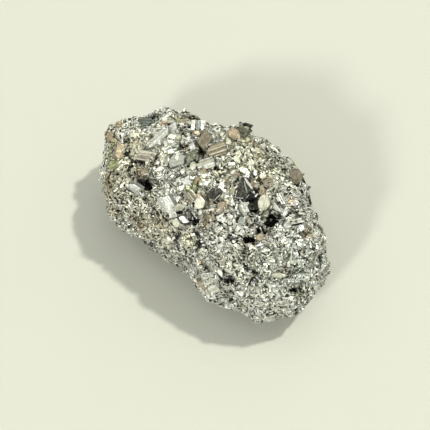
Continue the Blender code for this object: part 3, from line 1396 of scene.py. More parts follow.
@dataclass
class GrainLayer:
    """One layer of grains.

    Attributes:
        name: The piece's name.
        spacing: Least distance between grains.
        length: A grain's shortest and longest side along its group's direction.
        width: Its narrowest and widest side across that direction.
        seed: Seed of the layer's chance.
        group: How wide a group of like grains is.
        own_tilt: Most that a grain leans from the core's surface.
        spin: Most that it turns from its group's direction.
        strays: Share of the grains that stand any way.
        step: Most that a grain stands above or below its neighbours.
        rise: How far the layer's tops stand out of the core.
        depth: How far down a grain reaches.
        coarse_bias: 0 spreads the layer evenly; 1 keeps it off the fine-grained end.
        cuts: The shapes that the grains draw on.
    """

    name: str
    spacing: float
    length: tuple[float, float]
    width: tuple[float, float]
    seed: int
    group: float = 2.2
    own_tilt: float = 9.0
    spin: float = 18.0
    strays: float = 0.07
    step: float = 0.06
    rise: float = 0.08
    depth: float = 0.4
    coarse_bias: float = 0.0
    cuts: tuple[Cut, ...] = (Cut.HIP, Cut.WEDGE, Cut.HIP, Cut.SPALL, Cut.WEDGE, Cut.BLOCK)

    CLEAN_TOP = 0.1
    MAP_ALONG, MAP_DOWN, MAP_SKEW = 0.4, 0.3, 0.2

    def shapes(self) -> bpy.types.Collection:
        """Make the few shapes that the grains draw on.

        Each carries how much painted shade darkens it at each corner, more towards its foot, and where that
        corner lies in its cell of the layer's map, where sides and top are spread so that none covers
        another.

        Returns:
            The collection that holds them.
        """
        shaker = random.Random(self.seed)
        shapes = bpy.data.collections.new(f"{self.name}_shapes")
        for number, cut in enumerate(self.cuts):
            form = cut.shape(shaker)
            inside = form.verts.layers.float_vector.new("in_cell")
            grime = form.verts.layers.float.new("grime")
            for vertex in form.verts:
                x, y, z = vertex.co
                # Painted shade: none on the top, growing towards the foot.
                vertex[grime] = max(0.0, min(1.0, -z - self.CLEAN_TOP))
                vertex[inside] = (0.5 + self.MAP_ALONG * x + self.MAP_DOWN * z,
                                  0.5 + self.MAP_ALONG * y + self.MAP_DOWN * z + self.MAP_SKEW * x, 0.0)
            shape = new_object(f"{self.name}_shape_{number}", form)
            bpy.context.scene.collection.objects.unlink(shape)
            shapes.objects.link(shape)
        return shapes

    def build(self, surface: LumpSurface, core: bpy.types.Object, crystals: bpy.types.Object,
              marks: bpy.types.Object, finish: bpy.types.Material) -> bpy.types.Object:
        """Strew the grains and make them one plain mesh.

        Args:
            surface: The lump.
            core: The body that they grow on.
            crystals: The large crystals, which they grow around.
            marks: The pits, which they keep out of.
            finish: Their material.

        Returns:
            The piece.
        """
        shapes = self.shapes()
        piece = bpy.data.objects.new(self.name, core.data.copy())
        bpy.context.scene.collection.objects.link(piece)
        strewing = piece.modifiers.new("grains", "NODES")
        strewing.node_group = GrainTree(f"{self.name}_tree").build()
        values = {
            "Spacing": self.spacing * MM, "Shortest": self.length[0] * MM, "Longest": self.length[1] * MM,
            "Narrowest": self.width[0] * MM, "Widest": self.width[1] * MM, "Depth": self.depth * MM,
            "Group": self.group * MM, "Own Tilt": math.radians(self.own_tilt),
            "Spin": math.radians(self.spin), "Strays": self.strays, "Step": self.step * MM,
            "Rise": self.rise * MM, "Coarse Bias": self.coarse_bias, "Seed": self.seed,
            "Shapes": shapes, "Shape Count": len(self.cuts),
            "Large Crystals": crystals, "Pit Marks": marks, "Finish": finish,
        }
        for socket in strewing.node_group.interface.items_tree:
            if socket.in_out == "INPUT" and socket.name in values:
                strewing[socket.identifier] = values[socket.name]
        settle(piece)
        for shape in list(shapes.objects):
            bpy.data.objects.remove(shape)
        bpy.data.collections.remove(shapes)
        surface.press(piece.data)
        return dress(piece, finish)


class Outline(Enum):
    """The outlines that a crystal's face may have, as corners of a face of length and width 1."""

    SLAB = ((-.5, -.48), (.5, -.5), (.48, .5), (-.5, .46))
    SKEW = ((-.5, -.5), (.28, -.46), (.5, .5), (-.3, .46))
    SPINDLE = ((-.5, -.15), (-.2, -.5), (.38, -.42), (.5, .12), (.12, .5), (-.3, .3))
    ARROW = ((-.5, .0), (-.12, -.5), (.5, -.42), (.46, .45), (-.2, .5))
    HEXAGON = ((-.5, -.1), (-.22, -.5), (.32, -.46), (.5, .08), (.2, .5), (-.34, .42))
    OVAL = ((-.5, 0), (-.4, -.32), (-.1, -.5), (.25, -.44), (.46, -.18), (.5, .12), (.32, .42), (-.05, .5),
            (-.38, .34))
    SPLINTER = ((-.5, -.3), (.5, -.5), (.3, .5), (-.1, .2))
    KITE = ((.5, -.14), (.5, .14), (-.08, .42), (-.38, .47), (-.5, -.03), (-.04, -.5))

    def span(self, height: float, tip: float = 0.1) -> tuple[float, float]:
        """How far the outline reaches to either side at one height across it.

        Args:
            height: The height, from -0.5 to 0.5.
            tip: How far it reaches where it has no width.

        Returns:
            Its least and greatest place along.
        """
        corners = self.value
        places = []
        for (left, low), (right, high) in zip(corners, corners[1:] + corners[:1]):
            if low != high and min(low, high) <= height <= max(low, high):
                places.append(left + (right - left) * (height - low) / (high - low))
        return (min(places), max(places)) if places else (-tip, tip)


@dataclass(frozen=True)
class Landmark:
    """One of the large crystals.

    Attributes:
        name: What it is.
        across: Where its face shows in the camera's picture, from the left.
        down: The same, from the top.
        length: Its face's long side.
        width: Its face's short side.
        turn: The long side's angle in the picture, anticlockwise from the right.
        skin: The face's colour.
        outline: The face's outline.
        rim: Colour of its bevelled edges, where they are not like the face; a white rim is a painted
            highlight along the edges.
        proud: How far the face stands out of the lump.
        toward: How far the face turns from the lump's own surface to the camera.
        ribs: How many growth steps run along it; 0 leaves it smooth.
        polish: 0 for the brightest finish, 1 for the dullest.
        shade: Share of the face's colour that is left on the sides, as painted shade.
    """

    name: str
    across: float
    down: float
    length: float
    width: float
    turn: float
    skin: Skin
    outline: Outline = Outline.SLAB
    rim: Skin | None = None
    proud: float = 0.12
    toward: float = 0.5
    ribs: int = 0
    polish: float = 0.3
    shade: float = 0.42


LANDMARKS = (
    Landmark("west tan face", 110, 137, 2.8, 1.4, 80, Skin.TAN, Outline.ARROW),
    Landmark("west peach face", 121, 151, 3.9, 2.3, 75, Skin.PEACH, Outline.HEXAGON),
    Landmark("west olive face", 114, 165, 2.7, 2.2, 20, Skin.OLIVE, Outline.OVAL, proud=0.3, toward=0.8),
    Landmark("white spindle", 158, 138, 6.2, 2.1, 42, Skin.STEEL, Outline.SPINDLE, rim=Skin.WHITE,
             proud=0.25, toward=0.85, polish=0.1),
    Landmark("white spindle end", 172, 128, 2.8, 1.6, 34, Skin.WHITE, Outline.SKEW, proud=0.25,
             toward=0.85, polish=0.06),
    Landmark("lilac block", 146, 156, 4.8, 2.3, -10, Skin.LILAC, Outline.SKEW, rim=Skin.CREAM, ribs=6,
             proud=0.22, toward=0.8),
    Landmark("pale bud", 164, 159, 2.6, 2.0, 60, Skin.CREAM, Outline.OVAL),
    Landmark("grey green block", 177, 160, 3.8, 2.6, 8, Skin.STEEL, Outline.HEXAGON, rim=Skin.WHITE),
    Landmark("dark green block", 192, 155.5, 3.2, 1.9, 15, Skin.MOSS, Outline.SKEW, rim=Skin.SAGE, ribs=3),
    Landmark("taupe block", 205, 140, 4.2, 2.5, 58, Skin.TAUPE, Outline.SKEW, toward=0.8),
    Landmark("tan ribbed block", 216, 150.5, 4.8, 2.6, 18, Skin.TAN, Outline.ARROW, rim=Skin.CREAM, ribs=8,
             proud=0.2, toward=0.9),
    Landmark("bright bar", 193, 125, 2.6, 0.9, 82, Skin.WHITE),
    Landmark("dark bar", 198, 125, 2.6, 0.8, 82, Skin.SLATE, rim=Skin.WHITE),
    Landmark("bright bar beside", 202.5, 126, 2.8, 1.0, 80, Skin.WHITE),
    Landmark("rosy chip", 197, 133, 1.6, 1.4, 10, Skin.PEACH, Outline.HEXAGON),
    Landmark("brown chip", 184, 123, 2.1, 1.7, 30, Skin.TAUPE, Outline.HEXAGON),
    Landmark("tilted white block", 192, 146, 1.8, 1.3, 35, Skin.WHITE, Outline.SKEW, polish=0.06),
    Landmark("crown salmon face", 234, 134, 2.7, 2.2, -35, Skin.PEACH, Outline.HEXAGON, proud=0.3,
             toward=0.8),
    Landmark("crown crystal", 242, 131, 3.0, 2.0, -32, Skin.TAUPE, Outline.SKEW, rim=Skin.MOSS, ribs=5,
             proud=0.4, toward=0.8),
    Landmark("crown arc", 244.5, 126, 3.6, 1.5, 2, Skin.COAL, Outline.SPINDLE, proud=0.5, toward=0.9),
    Landmark("crown gleam", 246, 128, 1.5, 0.6, -8, Skin.CREAM, Outline.SPINDLE, proud=0.72, toward=0.9),
    # East rim and east rim end are near-black strips along the lump's outline: painted shade and painted
    # dark reflection.
    Landmark("east rim", 301, 176, 4.0, 0.55, -56, Skin.COAL, Outline.SPINDLE, proud=0.1, toward=0.8),
    Landmark("east rim end", 309, 197, 3.2, 0.45, -70, Skin.COAL, Outline.SPINDLE, proud=0.1, toward=0.8),
    Landmark("slate bowl", 146, 121, 3.6, 1.7, -8, Skin.SLATE, Outline.OVAL, ribs=5, polish=0.5),
    Landmark("crown chip", 255, 145, 1.6, 1.0, 60, Skin.TAUPE, Outline.SPLINTER),
    Landmark("pale arch", 136, 189, 4.6, 1.8, -28, Skin.WHITE, Outline.SPINDLE, ribs=4, proud=0.32,
             polish=0.06),
    Landmark("brown pink facet", 146, 172, 2.3, 1.9, 20, Skin.ROSE, Outline.HEXAGON),
    Landmark("cream oval bud", 193, 166, 2.3, 1.4, 70, Skin.CREAM, Outline.OVAL, rim=Skin.WHITE),
    Landmark("pale block top", 205, 164, 4.4, 2.4, 18, Skin.CREAM, Outline.ARROW, rim=Skin.WHITE, ribs=4,
             proud=0.22),
    Landmark("white triangle", 185.5, 182, 2.5, 2.0, 40, Skin.WHITE, Outline.SPLINTER, polish=0.06),
    Landmark("striped white face", 167, 204, 4.8, 3.0, 122, Skin.WHITE, Outline.SKEW, rim=Skin.STEEL,
             ribs=5, proud=0.3, polish=0.1),
    Landmark("striped white foot", 172, 213, 2.6, 1.6, 120, Skin.SILVER, Outline.SKEW, ribs=3),
    Landmark("pale foot", 180, 207, 2.4, 1.4, -20, Skin.CREAM, Outline.SKEW),
    Landmark("white green facet", 200, 203, 2.9, 2.3, 70, Skin.CREAM, Outline.HEXAGON, rim=Skin.WHITE,
             proud=0.2),
    Landmark("dark hexagon", 214, 193.5, 3.2, 2.6, 40, Skin.COAL, Outline.HEXAGON, rim=Skin.WHITE,
             proud=0.3),
    Landmark("striped brown", 191.5, 196, 3.0, 2.0, -52, Skin.TAUPE, Outline.SKEW, rim=Skin.CREAM, ribs=6),
    Landmark("white block", 184, 220, 2.6, 1.3, -50, Skin.WHITE, Outline.SKEW, proud=0.22, polish=0.06),
    Landmark("olive side", 176, 223, 2.2, 1.8, -50, Skin.CREAM, Outline.HEXAGON),
    Landmark("rust face", 236, 175, 2.0, 1.2, 0, Skin.ROSE, Outline.HEXAGON),
    Landmark("big crystal", 243.5, 188.5, 5.0, 3.8, 90, Skin.COAL, Outline.KITE, rim=Skin.WHITE, proud=0.4,
             toward=0.7),
    Landmark("big crystal's streak", 245.8, 187, 3.2, 0.4, 104, Skin.SLATE, Outline.SPINDLE, proud=0.45,
             toward=0.7),
    Landmark("big crystal's west streak", 240.5, 186, 2.6, 0.6, 66, Skin.SLATE, Outline.SPINDLE,
             proud=0.45, toward=0.7),
    # The big crystal's east and foot edges are white strips: painted highlights along its edges.
    Landmark("big crystal's east edge", 249.0, 184, 3.2, 0.62, 124, Skin.WHITE, Outline.SPINDLE, proud=0.5,
             toward=0.8),
    Landmark("big crystal's foot edge", 248.3, 194.3, 3.0, 0.4, 49, Skin.WHITE, Outline.SPINDLE, proud=0.5,
             toward=0.8),
    Landmark("brown matrix", 268, 183, 2.6, 2.0, 20, Skin.TAUPE, Outline.HEXAGON, rim=Skin.ROSE, ribs=4),
    Landmark("brown matrix beside", 252.5, 184, 1.8, 1.3, 60, Skin.ROSE, Outline.SKEW),
    Landmark("tan grain", 262, 192, 2.2, 1.4, 70, Skin.TAN, Outline.HEXAGON),
    Landmark("white bar", 247.5, 174, 2.3, 1.0, 80, Skin.WHITE, Outline.SKEW, polish=0.06),
    Landmark("dark gap bar", 251.5, 177, 1.8, 0.8, 80, Skin.COAL, Outline.SPINDLE),
    Landmark("white bar beside", 255, 173, 1.9, 0.8, 84, Skin.WHITE, Outline.SKEW, polish=0.06),
    Landmark("gold chip", 263, 176, 1.9, 1.3, 20, Skin.CREAM, Outline.HEXAGON),
    Landmark("cream facet", 264, 203, 3.7, 2.8, 74, Skin.CREAM, Outline.OVAL, proud=0.5, polish=0.4),
    Landmark("cream facet foot", 263, 213, 2.8, 1.7, -5, Skin.SAGE, Outline.HEXAGON, proud=0.4, toward=0.9),
    Landmark("knob face", 281, 200, 3.0, 1.8, 115, Skin.SILVER, Outline.SPINDLE, ribs=4, proud=0.75),
    Landmark("knob side", 277, 209, 2.6, 1.2, 130, Skin.STEEL, Outline.SPLINTER, rim=Skin.WHITE, proud=0.6),
    Landmark("knob foot", 285, 212, 2.4, 1.2, 60, Skin.WHITE, Outline.SPINDLE, proud=0.55),
    Landmark("knob brown spot", 291, 203, 1.9, 1.4, 40, Skin.TAN, Outline.HEXAGON, proud=0.5),
    Landmark("brown oval", 296, 177, 3.1, 2.7, 60, Skin.TAUPE, Outline.OVAL, proud=0.12),
    Landmark("pink brown chip", 222, 205, 2.4, 1.6, 15, Skin.ROSE, Outline.HEXAGON),
    Landmark("slate face", 242, 221, 2.2, 1.6, 75, Skin.SLATE, Outline.OVAL),
    Landmark("pale slab", 244, 209, 3.2, 1.9, 110, Skin.STEEL, Outline.SPINDLE, ribs=3, rim=Skin.WHITE),
    Landmark("rosy face", 260, 237, 2.0, 1.5, 20, Skin.ROSE, Outline.HEXAGON),
    Landmark("pale ridge", 297, 221, 3.6, 1.1, 18, Skin.SILVER, Outline.SPINDLE, ribs=2),
    Landmark("white square", 302, 228, 1.6, 1.4, 35, Skin.WHITE, Outline.SKEW, polish=0.06),
    Landmark("white square above", 286, 226, 1.4, 1.0, 60, Skin.WHITE, Outline.SKEW, polish=0.06),
    Landmark("long cream facet", 278, 275, 3.2, 1.2, -6, Skin.CREAM, Outline.SPINDLE),
    Landmark("south rosy face", 203, 285, 2.4, 1.6, -40, Skin.ROSE, Outline.SLAB),
    Landmark("south pale face", 214, 289, 3.0, 2.2, 30, Skin.SILVER, Outline.HEXAGON),
    Landmark("east white patch", 322, 268, 2.2, 1.4, 50, Skin.WHITE, Outline.SPLINTER, polish=0.06),
    Landmark("pale lens", 220, 272, 2.2, 1.2, 110, Skin.SILVER, Outline.SPINDLE),
)


def tilt(about_long: float, about_short: float, spin: float = 0.0) -> Matrix:
    """Turn a crystal out of its own place.

    Args:
        about_long: Degrees about its long side.
        about_short: Degrees about its short side.
        spin: Degrees about the way it faces.

    Returns:
        The turn.
    """
    turns = ((about_long, "X"), (about_short, "Y"), (spin, "Z"))
    first, second, third = (Matrix.Rotation(math.radians(angle), 4, axis) for angle, axis in turns)
    return first @ second @ third


@dataclass(frozen=True)
class Stance:
    """Where a large crystal stands.

    Attributes:
        place: The middle of its face, in metres.
        along: Roughly the way that its long side runs.
        facing: The way that its face faces.
    """

    place: Vector
    along: Vector
    facing: Vector

    def matrix(self, lean: tuple[float, float] = (0.0, 0.0)) -> Matrix:
        """The way from the crystal's own millimetres to the lump.

        Args:
            lean: Degrees that the crystal tips about its long side and its short side.

        Returns:
            The matrix.
        """
        along = (self.along - self.facing * self.along.dot(self.facing)).normalized()
        turn = Matrix((along, self.facing.cross(along), self.facing)).transposed().to_4x4()
        return Matrix.Translation(self.place) @ turn @ tilt(*lean) @ Matrix.Scale(MM, 4)


@dataclass
class LargeCrystals:
    """All the large crystals as one mesh.

    Attributes:
        surface: The lump that they stand on.
        marks: The crystals of the lump's face, each of which has its own place.
        wild: How many more stand on its other sides.
        least_depth: Depth of the narrowest crystal.
        depth: What a crystal's width adds to its depth, for each millimetre.
        edge: Width of the flat along its edges.
        most_shards: Most smaller faces that grow out of one.
        shaker: The source of chance.
        whole: The mesh so far.
    """

    surface: LumpSurface
    marks: Sequence[Landmark]
    wild: int = 70
    least_depth: float = 0.7
    depth: float = 0.45
    edge: float = 0.12
    most_shards: int = 5
    shaker: random.Random = field(default_factory=lambda: random.Random(17))
    whole: bmesh.types.BMesh = field(default_factory=bmesh.new)

    CEILING = CAD_BOX[1][2] + 0.7 * MM
    MOST_PROUD = 0.25 * MM
    OUT_OF_SIGHT = 4.5 * MM
    ABOVE_SEAT = 4.0 * MM

    FLARE = (1.06, 1.22)
    CORNER_PLAY = 0.05
    LEAN_PLAY = 5.0
    EDGE_SHARE = 0.09
    CLEAN = 0.88
    TOP, SHOULDER = 0.9, 0.25
    # Share of bevelled edges that take the rim colour, a painted highlight where it is white.
    EDGES_BRIGHT = 0.6

    RIB_END_PLAY = 0.12
    RIB_WIDTH = (0.42, 0.52)
    RIB_HEIGHT = (-0.14, 0.04)
    RIB_LEAN = 10.0
    RIB_SHARE = (0.62, 1.05)
    RIB_EDGE = 0.12
    BANDED = 0.34

    SHARD_AREA = 2.0
    SHARD_INWARD = (0.6, 1.05)
    SHARD_HEIGHT = (-0.1, 0.08)
    SHARD_LENGTH = (0.5, 1.3)
    SHARD_WIDTH = (0.3, 0.7)
    SHARD_LEAN = (24.0, 18.0)
    SHARD_TURNS = (0, 60, 90, 120)
    SHARD_TURN_PLAY = 12.0
    SHARD_SHARE = (0.5, 1.15)
    SHARD_DUST = (0.0, 0.35)
    SHARD_CORNER_PLAY = 0.1
    SHARD_DEPTH, SHARD_EDGE = 0.8, 0.05
    SHARD_OUTLINES = (Outline.SPLINTER, Outline.SKEW, Outline.ARROW, Outline.HEXAGON)

    WILD_WIDTH = (1.0, 2.6)
    WILD_LENGTH = (1.0, 2.0)
    WILD_LEAN = 0.3
    WILD_PROUD = 0.04 * MM
    WILD_SKINS = (Skin.SILVER, Skin.WHITE, Skin.CREAM, Skin.STEEL, Skin.STEEL, Skin.TAUPE, Skin.TAN,
                  Skin.ROSE, Skin.LILAC, Skin.PEACH, Skin.SLATE, Skin.MOSS)
    WILD_OUTLINES = (Outline.SLAB, Outline.SKEW, Outline.SPINDLE, Outline.HEXAGON, Outline.ARROW,
                     Outline.OVAL)
    WILD_RIBS = (0, 0, 3, 5)
    # Share of the skin left on the sides of the crystals on the lump's other sides, as painted shade.
    WILD_SHADE = 0.7
    FAR = 0.1
    GROWTH_SPREAD = 40.0
    BRIGHTEST = 0.98

    def between(self, most: float) -> float:
        """A random number from -most to most."""
        return self.shaker.uniform(-most, most)

    def corners(self, outline: Outline, length: float, width: float,
                play: float) -> list[tuple[float, float]]:
        """Lay out a face with uneven corners.

        Args:
            outline: Its outline.
            length: Its long side.
            width: Its short side.
            play: Most that a corner moves, for a side of 1.

        Returns:
            The corners, in millimetres.
        """
        return [((x + self.between(play)) * length, (y + self.between(play)) * width)
                for x, y in outline.value]

    def prism(self, corners: Sequence[tuple[float, float]], depth: float, edge: float) -> bmesh.types.BMesh:
        """Make a crystal with a flat face at height 0, narrower there than below.

        Args:
            corners: The face's outline, in millimetres.
            depth: How deep it is.
            edge: Width of the flat along its edges.

        Returns:
            The shape, in millimetres.
        """
        form = bmesh.new()
        flare = self.shaker.uniform(*self.FLARE)
        top = [form.verts.new((x, y, 0.0)) for x, y in corners]
        foot = [form.verts.new((x * flare, y * flare, -depth)) for x, y in corners]
        form.faces.new(top)
        form.faces.new(foot[::-1])
        for number in range(len(corners)):
            after = (number + 1) % len(corners)
            form.faces.new((top[number], foot[number], foot[after], top[after]))
        bmesh.ops.bevel(form, geom=form.edges[:], offset=edge, segments=1, affect="EDGES",
                        clamp_overlap=True)
        bmesh.ops.recalc_face_normals(form, faces=form.faces)
        return form

    def add(self, form: bmesh.types.BMesh, way: Matrix, skin: Colour, rim: Colour, mark: Landmark) -> None:
        """Put one shape into the whole mesh, no higher than the ceiling.

        Args:
            form: The shape, in millimetres, which is freed.
            way: Where it goes.
            skin: Its face's colour.
            rim: Its edges' colour.
            mark: What the crystal is like.
        """
        form.normal_update()
        colours, grown = [], [vertex.co.y for vertex in form.verts]
        # The face keeps its colour; bevelled edges take the rim colour, a painted highlight where it is
        # white; the sides are darkened as painted shade.
        for face in form.faces:
            up = face.normal.z
            edge = rim if self.shaker.random() < self.EDGES_BRIGHT else skin
            side = [part * mark.shade for part in skin]
            colours.append((*(skin if up > self.TOP else edge if up > self.SHOULDER else side), 1.0))
        form.transform(way)
        excess = max(vertex.co.z for vertex in form.verts) - self.CEILING
        if excess > 0:
            form.transform(Matrix.Translation((0.0, 0.0, -excess)))
        mesh = bpy.data.meshes.new("crystal")
        form.to_mesh(mesh)
        form.free()
        verts, faces = self.whole.verts, self.whole.faces
        first, first_face = len(verts), len(faces)
        self.whole.from_mesh(mesh)
        bpy.data.meshes.remove(mesh)
        verts.ensure_lookup_table()
        faces.ensure_lookup_table()
        offset = self.shaker.uniform(0.0, self.GROWTH_SPREAD)
        for vertex, growth in zip(verts[first:], grown):
            vertex[verts.layers.float["polish"]] = mark.polish
            vertex[verts.layers.float["growth"]] = growth + offset
        for face, colour in zip(faces[first_face:], colours):
            for loop in face.loops:
                loop[self.whole.loops.layers.float_color["skin"]] = colour

    def raise_crystal(self, stance: Stance, mark: Landmark) -> None:
        """Make one crystal, in one block or as a row of growth steps.

        Args:
            stance: Where it stands.
            mark: What it is like.
        """
        pick = self.shaker.uniform
        way = stance.matrix((self.between(self.LEAN_PLAY), self.between(self.LEAN_PLAY)))
        skin = [part * self.CLEAN for part in mark.skin.value]
        rim = mark.rim.value if mark.rim else skin
        deep = self.least_depth + mark.width * self.depth
        if not mark.ribs:
            face = self.corners(mark.outline, mark.length, mark.width, self.CORNER_PLAY)
            block = self.prism(face, deep, min(self.edge, mark.width * self.EDGE_SHARE))
            self.add(block, way, skin, rim, mark)
            return
        rib = mark.width / mark.ribs
        for number in range(mark.ribs):
            ends = mark.outline.span((number + 0.5) / mark.ribs - 0.5)
            start, end = (place * mark.length + self.between(self.RIB_END_PLAY) for place in ends)
            half = rib * pick(*self.RIB_WIDTH)
            middle = (number + 0.5) * rib - mark.width / 2
            step = (Matrix.Translation((0.0, middle, pick(*self.RIB_HEIGHT)))
                    @ tilt(self.between(self.RIB_LEAN), 0.0))
            share = pick(*self.RIB_SHARE)
            band = rim if mark.rim and self.shaker.random() < self.BANDED else skin
            block = self.prism([(start, -half), (end, -half), (end, half), (start, half)], deep,
                               rib * self.RIB_EDGE)
            self.add(block, way @ step, [part * share for part in band], rim, mark)

    def shatter(self, stance: Stance, mark: Landmark) -> None:
        """Grow smaller faces out of a crystal's edges.

        Args:
            stance: Where the crystal stands.
            mark: What it is like.
        """
        pick = self.shaker.uniform
        outline = mark.outline.value
        way = stance.matrix()
        girth = mark.width ** 0.5
        for _ in range(int(min(self.most_shards, mark.length * mark.width / self.SHARD_AREA))):
            number = self.shaker.randrange(len(outline))
            (x, y), (far_x, far_y) = outline[number], outline[(number + 1) % len(outline)]
            part, inward = pick(0.0, 1.0), pick(*self.SHARD_INWARD)
            spot = Vector(((x + (far_x - x) * part) * inward * mark.length,
                           (y + (far_y - y) * part) * inward * mark.width, pick(*self.SHARD_HEIGHT)))
            place, normal, _, _ = self.surface.tree.find_nearest(way @ spot)
            if (way @ spot - place).dot(normal) > self.MOST_PROUD:
                continue
            length, width = girth * pick(*self.SHARD_LENGTH), girth * pick(*self.SHARD_WIDTH)
            lean = [self.between(most) for most in self.SHARD_LEAN]
            turn = tilt(*lean, self.shaker.choice(self.SHARD_TURNS) + self.between(self.SHARD_TURN_PLAY))
            share, dust = pick(*self.SHARD_SHARE), pick(*self.SHARD_DUST)
            skin = [min(self.BRIGHTEST, bare * share * (1.0 - dust) + grey * dust)
                    for bare, grey in zip(mark.skin.value, Skin.STEEL.value)]
            face = self.corners(self.shaker.choice(self.SHARD_OUTLINES), length, width,
                                self.SHARD_CORNER_PLAY)
            self.add(self.prism(face, self.SHARD_DEPTH, self.SHARD_EDGE),
                     way @ Matrix.Translation(spot) @ turn, skin, skin, mark)

    def stance(self, mark: Landmark) -> Stance | None:
        """Find where a crystal of the lump's face stands.

        Args:
            mark: The crystal.

        Returns:
            Its stance, or None off the lump.
        """
        seen = self.surface.seen_at(mark.across, mark.down)
        if seen is None:
            return None
        place, normal = seen
        right, up, back = self.surface.view.axes()
        facing = (back * mark.toward + normal * (1.0 - mark.toward)).normalized()
        angle = math.radians(mark.turn)
        along = right * math.cos(angle) + up * math.sin(angle)
        return Stance(place + facing * mark.proud * MM, along, facing)

    def wild_stance(self) -> Stance:
        """Draw places on the lump's other sides until one is out of the camera's sight.

        Returns:
            The stance there.
        """
        low, high = (Vector(corner) for corner in CAD_BOX)
        heart = (low + high) / 2
        while True:
            way = Vector([self.shaker.gauss(0, 1) for _ in range(3)]).normalized()
            place, normal, _, _ = self.surface.tree.ray_cast(heart + way * self.FAR, -way)
            if place and place.z > self.ABOVE_SEAT and self.surface.hidden(place, self.OUT_OF_SIGHT):
                facing = (normal + Vector([self.between(self.WILD_LEAN) for _ in range(3)])).normalized()
                return Stance(place + facing * self.WILD_PROUD, facing.orthogonal(), facing)

    def wild_crystal(self, number: int) -> Landmark:
        """Draw what a crystal of the lump's other sides is like.

        Args:
            number: Its number, for its name.

        Returns:
            The crystal.
        """
        pick, choose = self.shaker.uniform, self.shaker.choice
        width = pick(*self.WILD_WIDTH)
        return Landmark(f"wild {number}", 0, 0, width * pick(*self.WILD_LENGTH), width, 0,
                        choose(self.WILD_SKINS), choose(self.WILD_OUTLINES), ribs=choose(self.WILD_RIBS),
                        shade=self.WILD_SHADE)

    def build(self, finish: bpy.types.Material) -> bpy.types.Object:
        """Make them all.

        Args:
            finish: Their material.

        Returns:
            The piece.
        """
        self.whole.loops.layers.float_color.new("skin")
        self.whole.verts.layers.float.new("polish")
        self.whole.verts.layers.float.new("growth")
        for mark in (*self.marks, *range(self.wild)):
            if isinstance(mark, Landmark):
                stance = self.stance(mark)
            else:
                mark, stance = self.wild_crystal(mark), self.wild_stance()
            if stance is None:
                LOG.warning("%s is off the lump", mark.name)
                continue
            self.raise_crystal(stance, mark)
            self.shatter(stance, mark)
        return dress(new_object("large_crystals", self.whole), finish)


# ---------------------------------------------------------------- studio

@dataclass(frozen=True)
class Lamp:
    """A lamp far away, whose rays are parallel.

    Attributes:
        name: The lamp's name.
        turn: Bearing that its light comes from.
        climb: Its height above the horizon.
        power: Its strength.
        spread: How wide it looks.
        tint: Its colour.
    """

    name: str
    turn: float
    climb: float
    power: float
    spread: float
    tint: Colour

    def hang(self) -> None:
        """Put the lamp in the scene."""
        data = bpy.data.lights.new(self.name, "SUN")
        data.energy = self.power
        data.angle = math.radians(self.spread)
        data.color = self.tint
        lamp = bpy.data.objects.new(self.name, data)
        turn, rise = math.radians(self.turn), math.radians(self.climb)
        way = Vector((math.cos(turn) * math.cos(rise), math.sin(turn) * math.cos(rise), math.sin(rise)))
        lamp.rotation_euler = way.to_track_quat("Z", "Y").to_euler()
        bpy.context.scene.collection.objects.link(lamp)


@dataclass
class Studio:
    """The floor, the lights and the air around.

    Attributes:
        floor_size: Side of the floor.
        key: The bright high light, from the right and a little behind.
        fill: The low broad light, from the left in front.
        air: Strength of the light from all around.
        air_colour: Its colour.
    """

    floor_size: float = 3000.0
    key: Lamp = Lamp("key", turn=62.0, climb=64.0, power=2.7, spread=4.0, tint=(0.98, 0.975, 0.90))
    fill: Lamp = Lamp("fill", turn=-75.0, climb=30.0, power=2.4, spread=8.0, tint=(0.985, 0.99, 0.93))
    air: float = 1.15
    air_colour: Colour = (0.985, 0.99, 0.935)

    DIM, BRIGHT = 0.12, 1.3

    def floor(self) -> None:
        """Lay the floor."""
        form = bmesh.new()
        bmesh.ops.create_grid(form, x_segments=1, y_segments=1, size=self.floor_size / 2 * MM)
        floor = new_object("floor", form)
        floor.data.materials.append(FloorFinish().build())

    def surroundings(self) -> None:
        """Fill the air with soft light that differs from side to side."""
        world = bpy.data.worlds.new("studio_air")
        bpy.context.scene.world = world
        world.use_nodes = True
        graph = Graph(world.node_tree)
        way = graph.node("ShaderNodeTexCoord", {"output": "Generated"})
        zones = graph.node("ShaderNodeMapRange", {"interpolation_type": "SMOOTHSTEP"}, {
            0: graph.noise(way, 3.5, detail=1.5, rough=0.6), 1: 0.42, 2: 0.57,
            3: self.DIM, 4: self.BRIGHT,
        })
        background = graph.node("ShaderNodeBackground", {},
                                {"Color": self.air_colour, "Strength": zones * self.air})
        graph.node("ShaderNodeOutputWorld", {}, {0: background})
        bpy.context.scene.view_settings.view_transform = "Standard"

    def build(self) -> None:
        """Set up the whole studio."""
        self.floor()
        self.key.hang()
        self.fill.hang()
        self.surroundings()


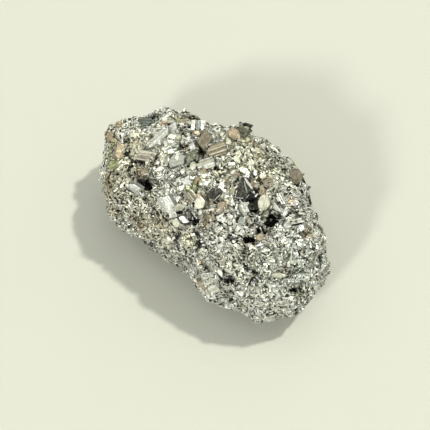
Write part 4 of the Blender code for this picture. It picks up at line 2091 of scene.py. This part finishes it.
FINE_COLOURS = (
    (0.0, Skin.SILVER), (0.36, Skin.WHITE), (0.54, Skin.CREAM), (0.70, Skin.STEEL),
    (0.79, Skin.TAUPE), (0.87, Skin.TAN), (0.91, Skin.MOSS), (0.96, Skin.COAL),
)
MIDDLE_COLOURS = (
    (0.0, Skin.SILVER), (0.35, Skin.WHITE), (0.52, Skin.CREAM), (0.74, Skin.STEEL),
    (0.88, Skin.LILAC), (0.92, Skin.TAN), (0.95, Skin.TAUPE), (0.975, Skin.ROSE),
)


def main() -> None:
    """Build the lump and its studio, and report each piece."""
    logging.basicConfig(level=logging.INFO, format="%(name)s: %(message)s")
    view = ViewPoint()
    view.build()
    surface = LumpSurface(view)
    marks = Marks(surface, [*PITS, *(pit for crack in CRACKS for pit in crack.pits())], ZONES, BOSSES)
    core = Core(surface, marks).build()
    crystals = LargeCrystals(surface, LANDMARKS).build(CrystalMetal().build())
    pit_marks = marks.pit_marks()
    fine = GrainMetal("fine_grain_metal", FINE_COLOURS).build()
    middling = GrainMetal("middling_metal", MIDDLE_COLOURS, terraces=Terraces(
        patch=4.0, count=6.0, dirt=(0.3, 0.28, 0.2), depth=0.05)).build()
    layers = (
        GrainLayer("plates", spacing=1.1, length=(1.0, 2.4), width=(0.35, 0.75), seed=3, group=2.6,
                   coarse_bias=0.45),
        GrainLayer("ribbed_grain", spacing=0.85, length=(0.6, 1.9), width=(0.28, 0.5), seed=4, group=1.8),
        GrainLayer("fine_ribs", spacing=0.8, length=(0.5, 1.5), width=(0.22, 0.4), seed=5, group=1.5),
    )
    for layer in layers:
        layer.build(surface, core, crystals, pit_marks, fine)
    GrainLayer("middling_crystals", spacing=1.5, length=(0.9, 1.9), width=(0.7, 1.4), seed=32, group=3.5,
               depth=1.0, rise=0.3, strays=0.25, coarse_bias=1.0,
               cuts=(Cut.BLOCK, Cut.BLOCK, Cut.WEDGE)).build(surface, core, crystals, pit_marks, middling)
    bpy.data.objects.remove(pit_marks)
    Studio().build()


if __name__ == "__main__":
    main()
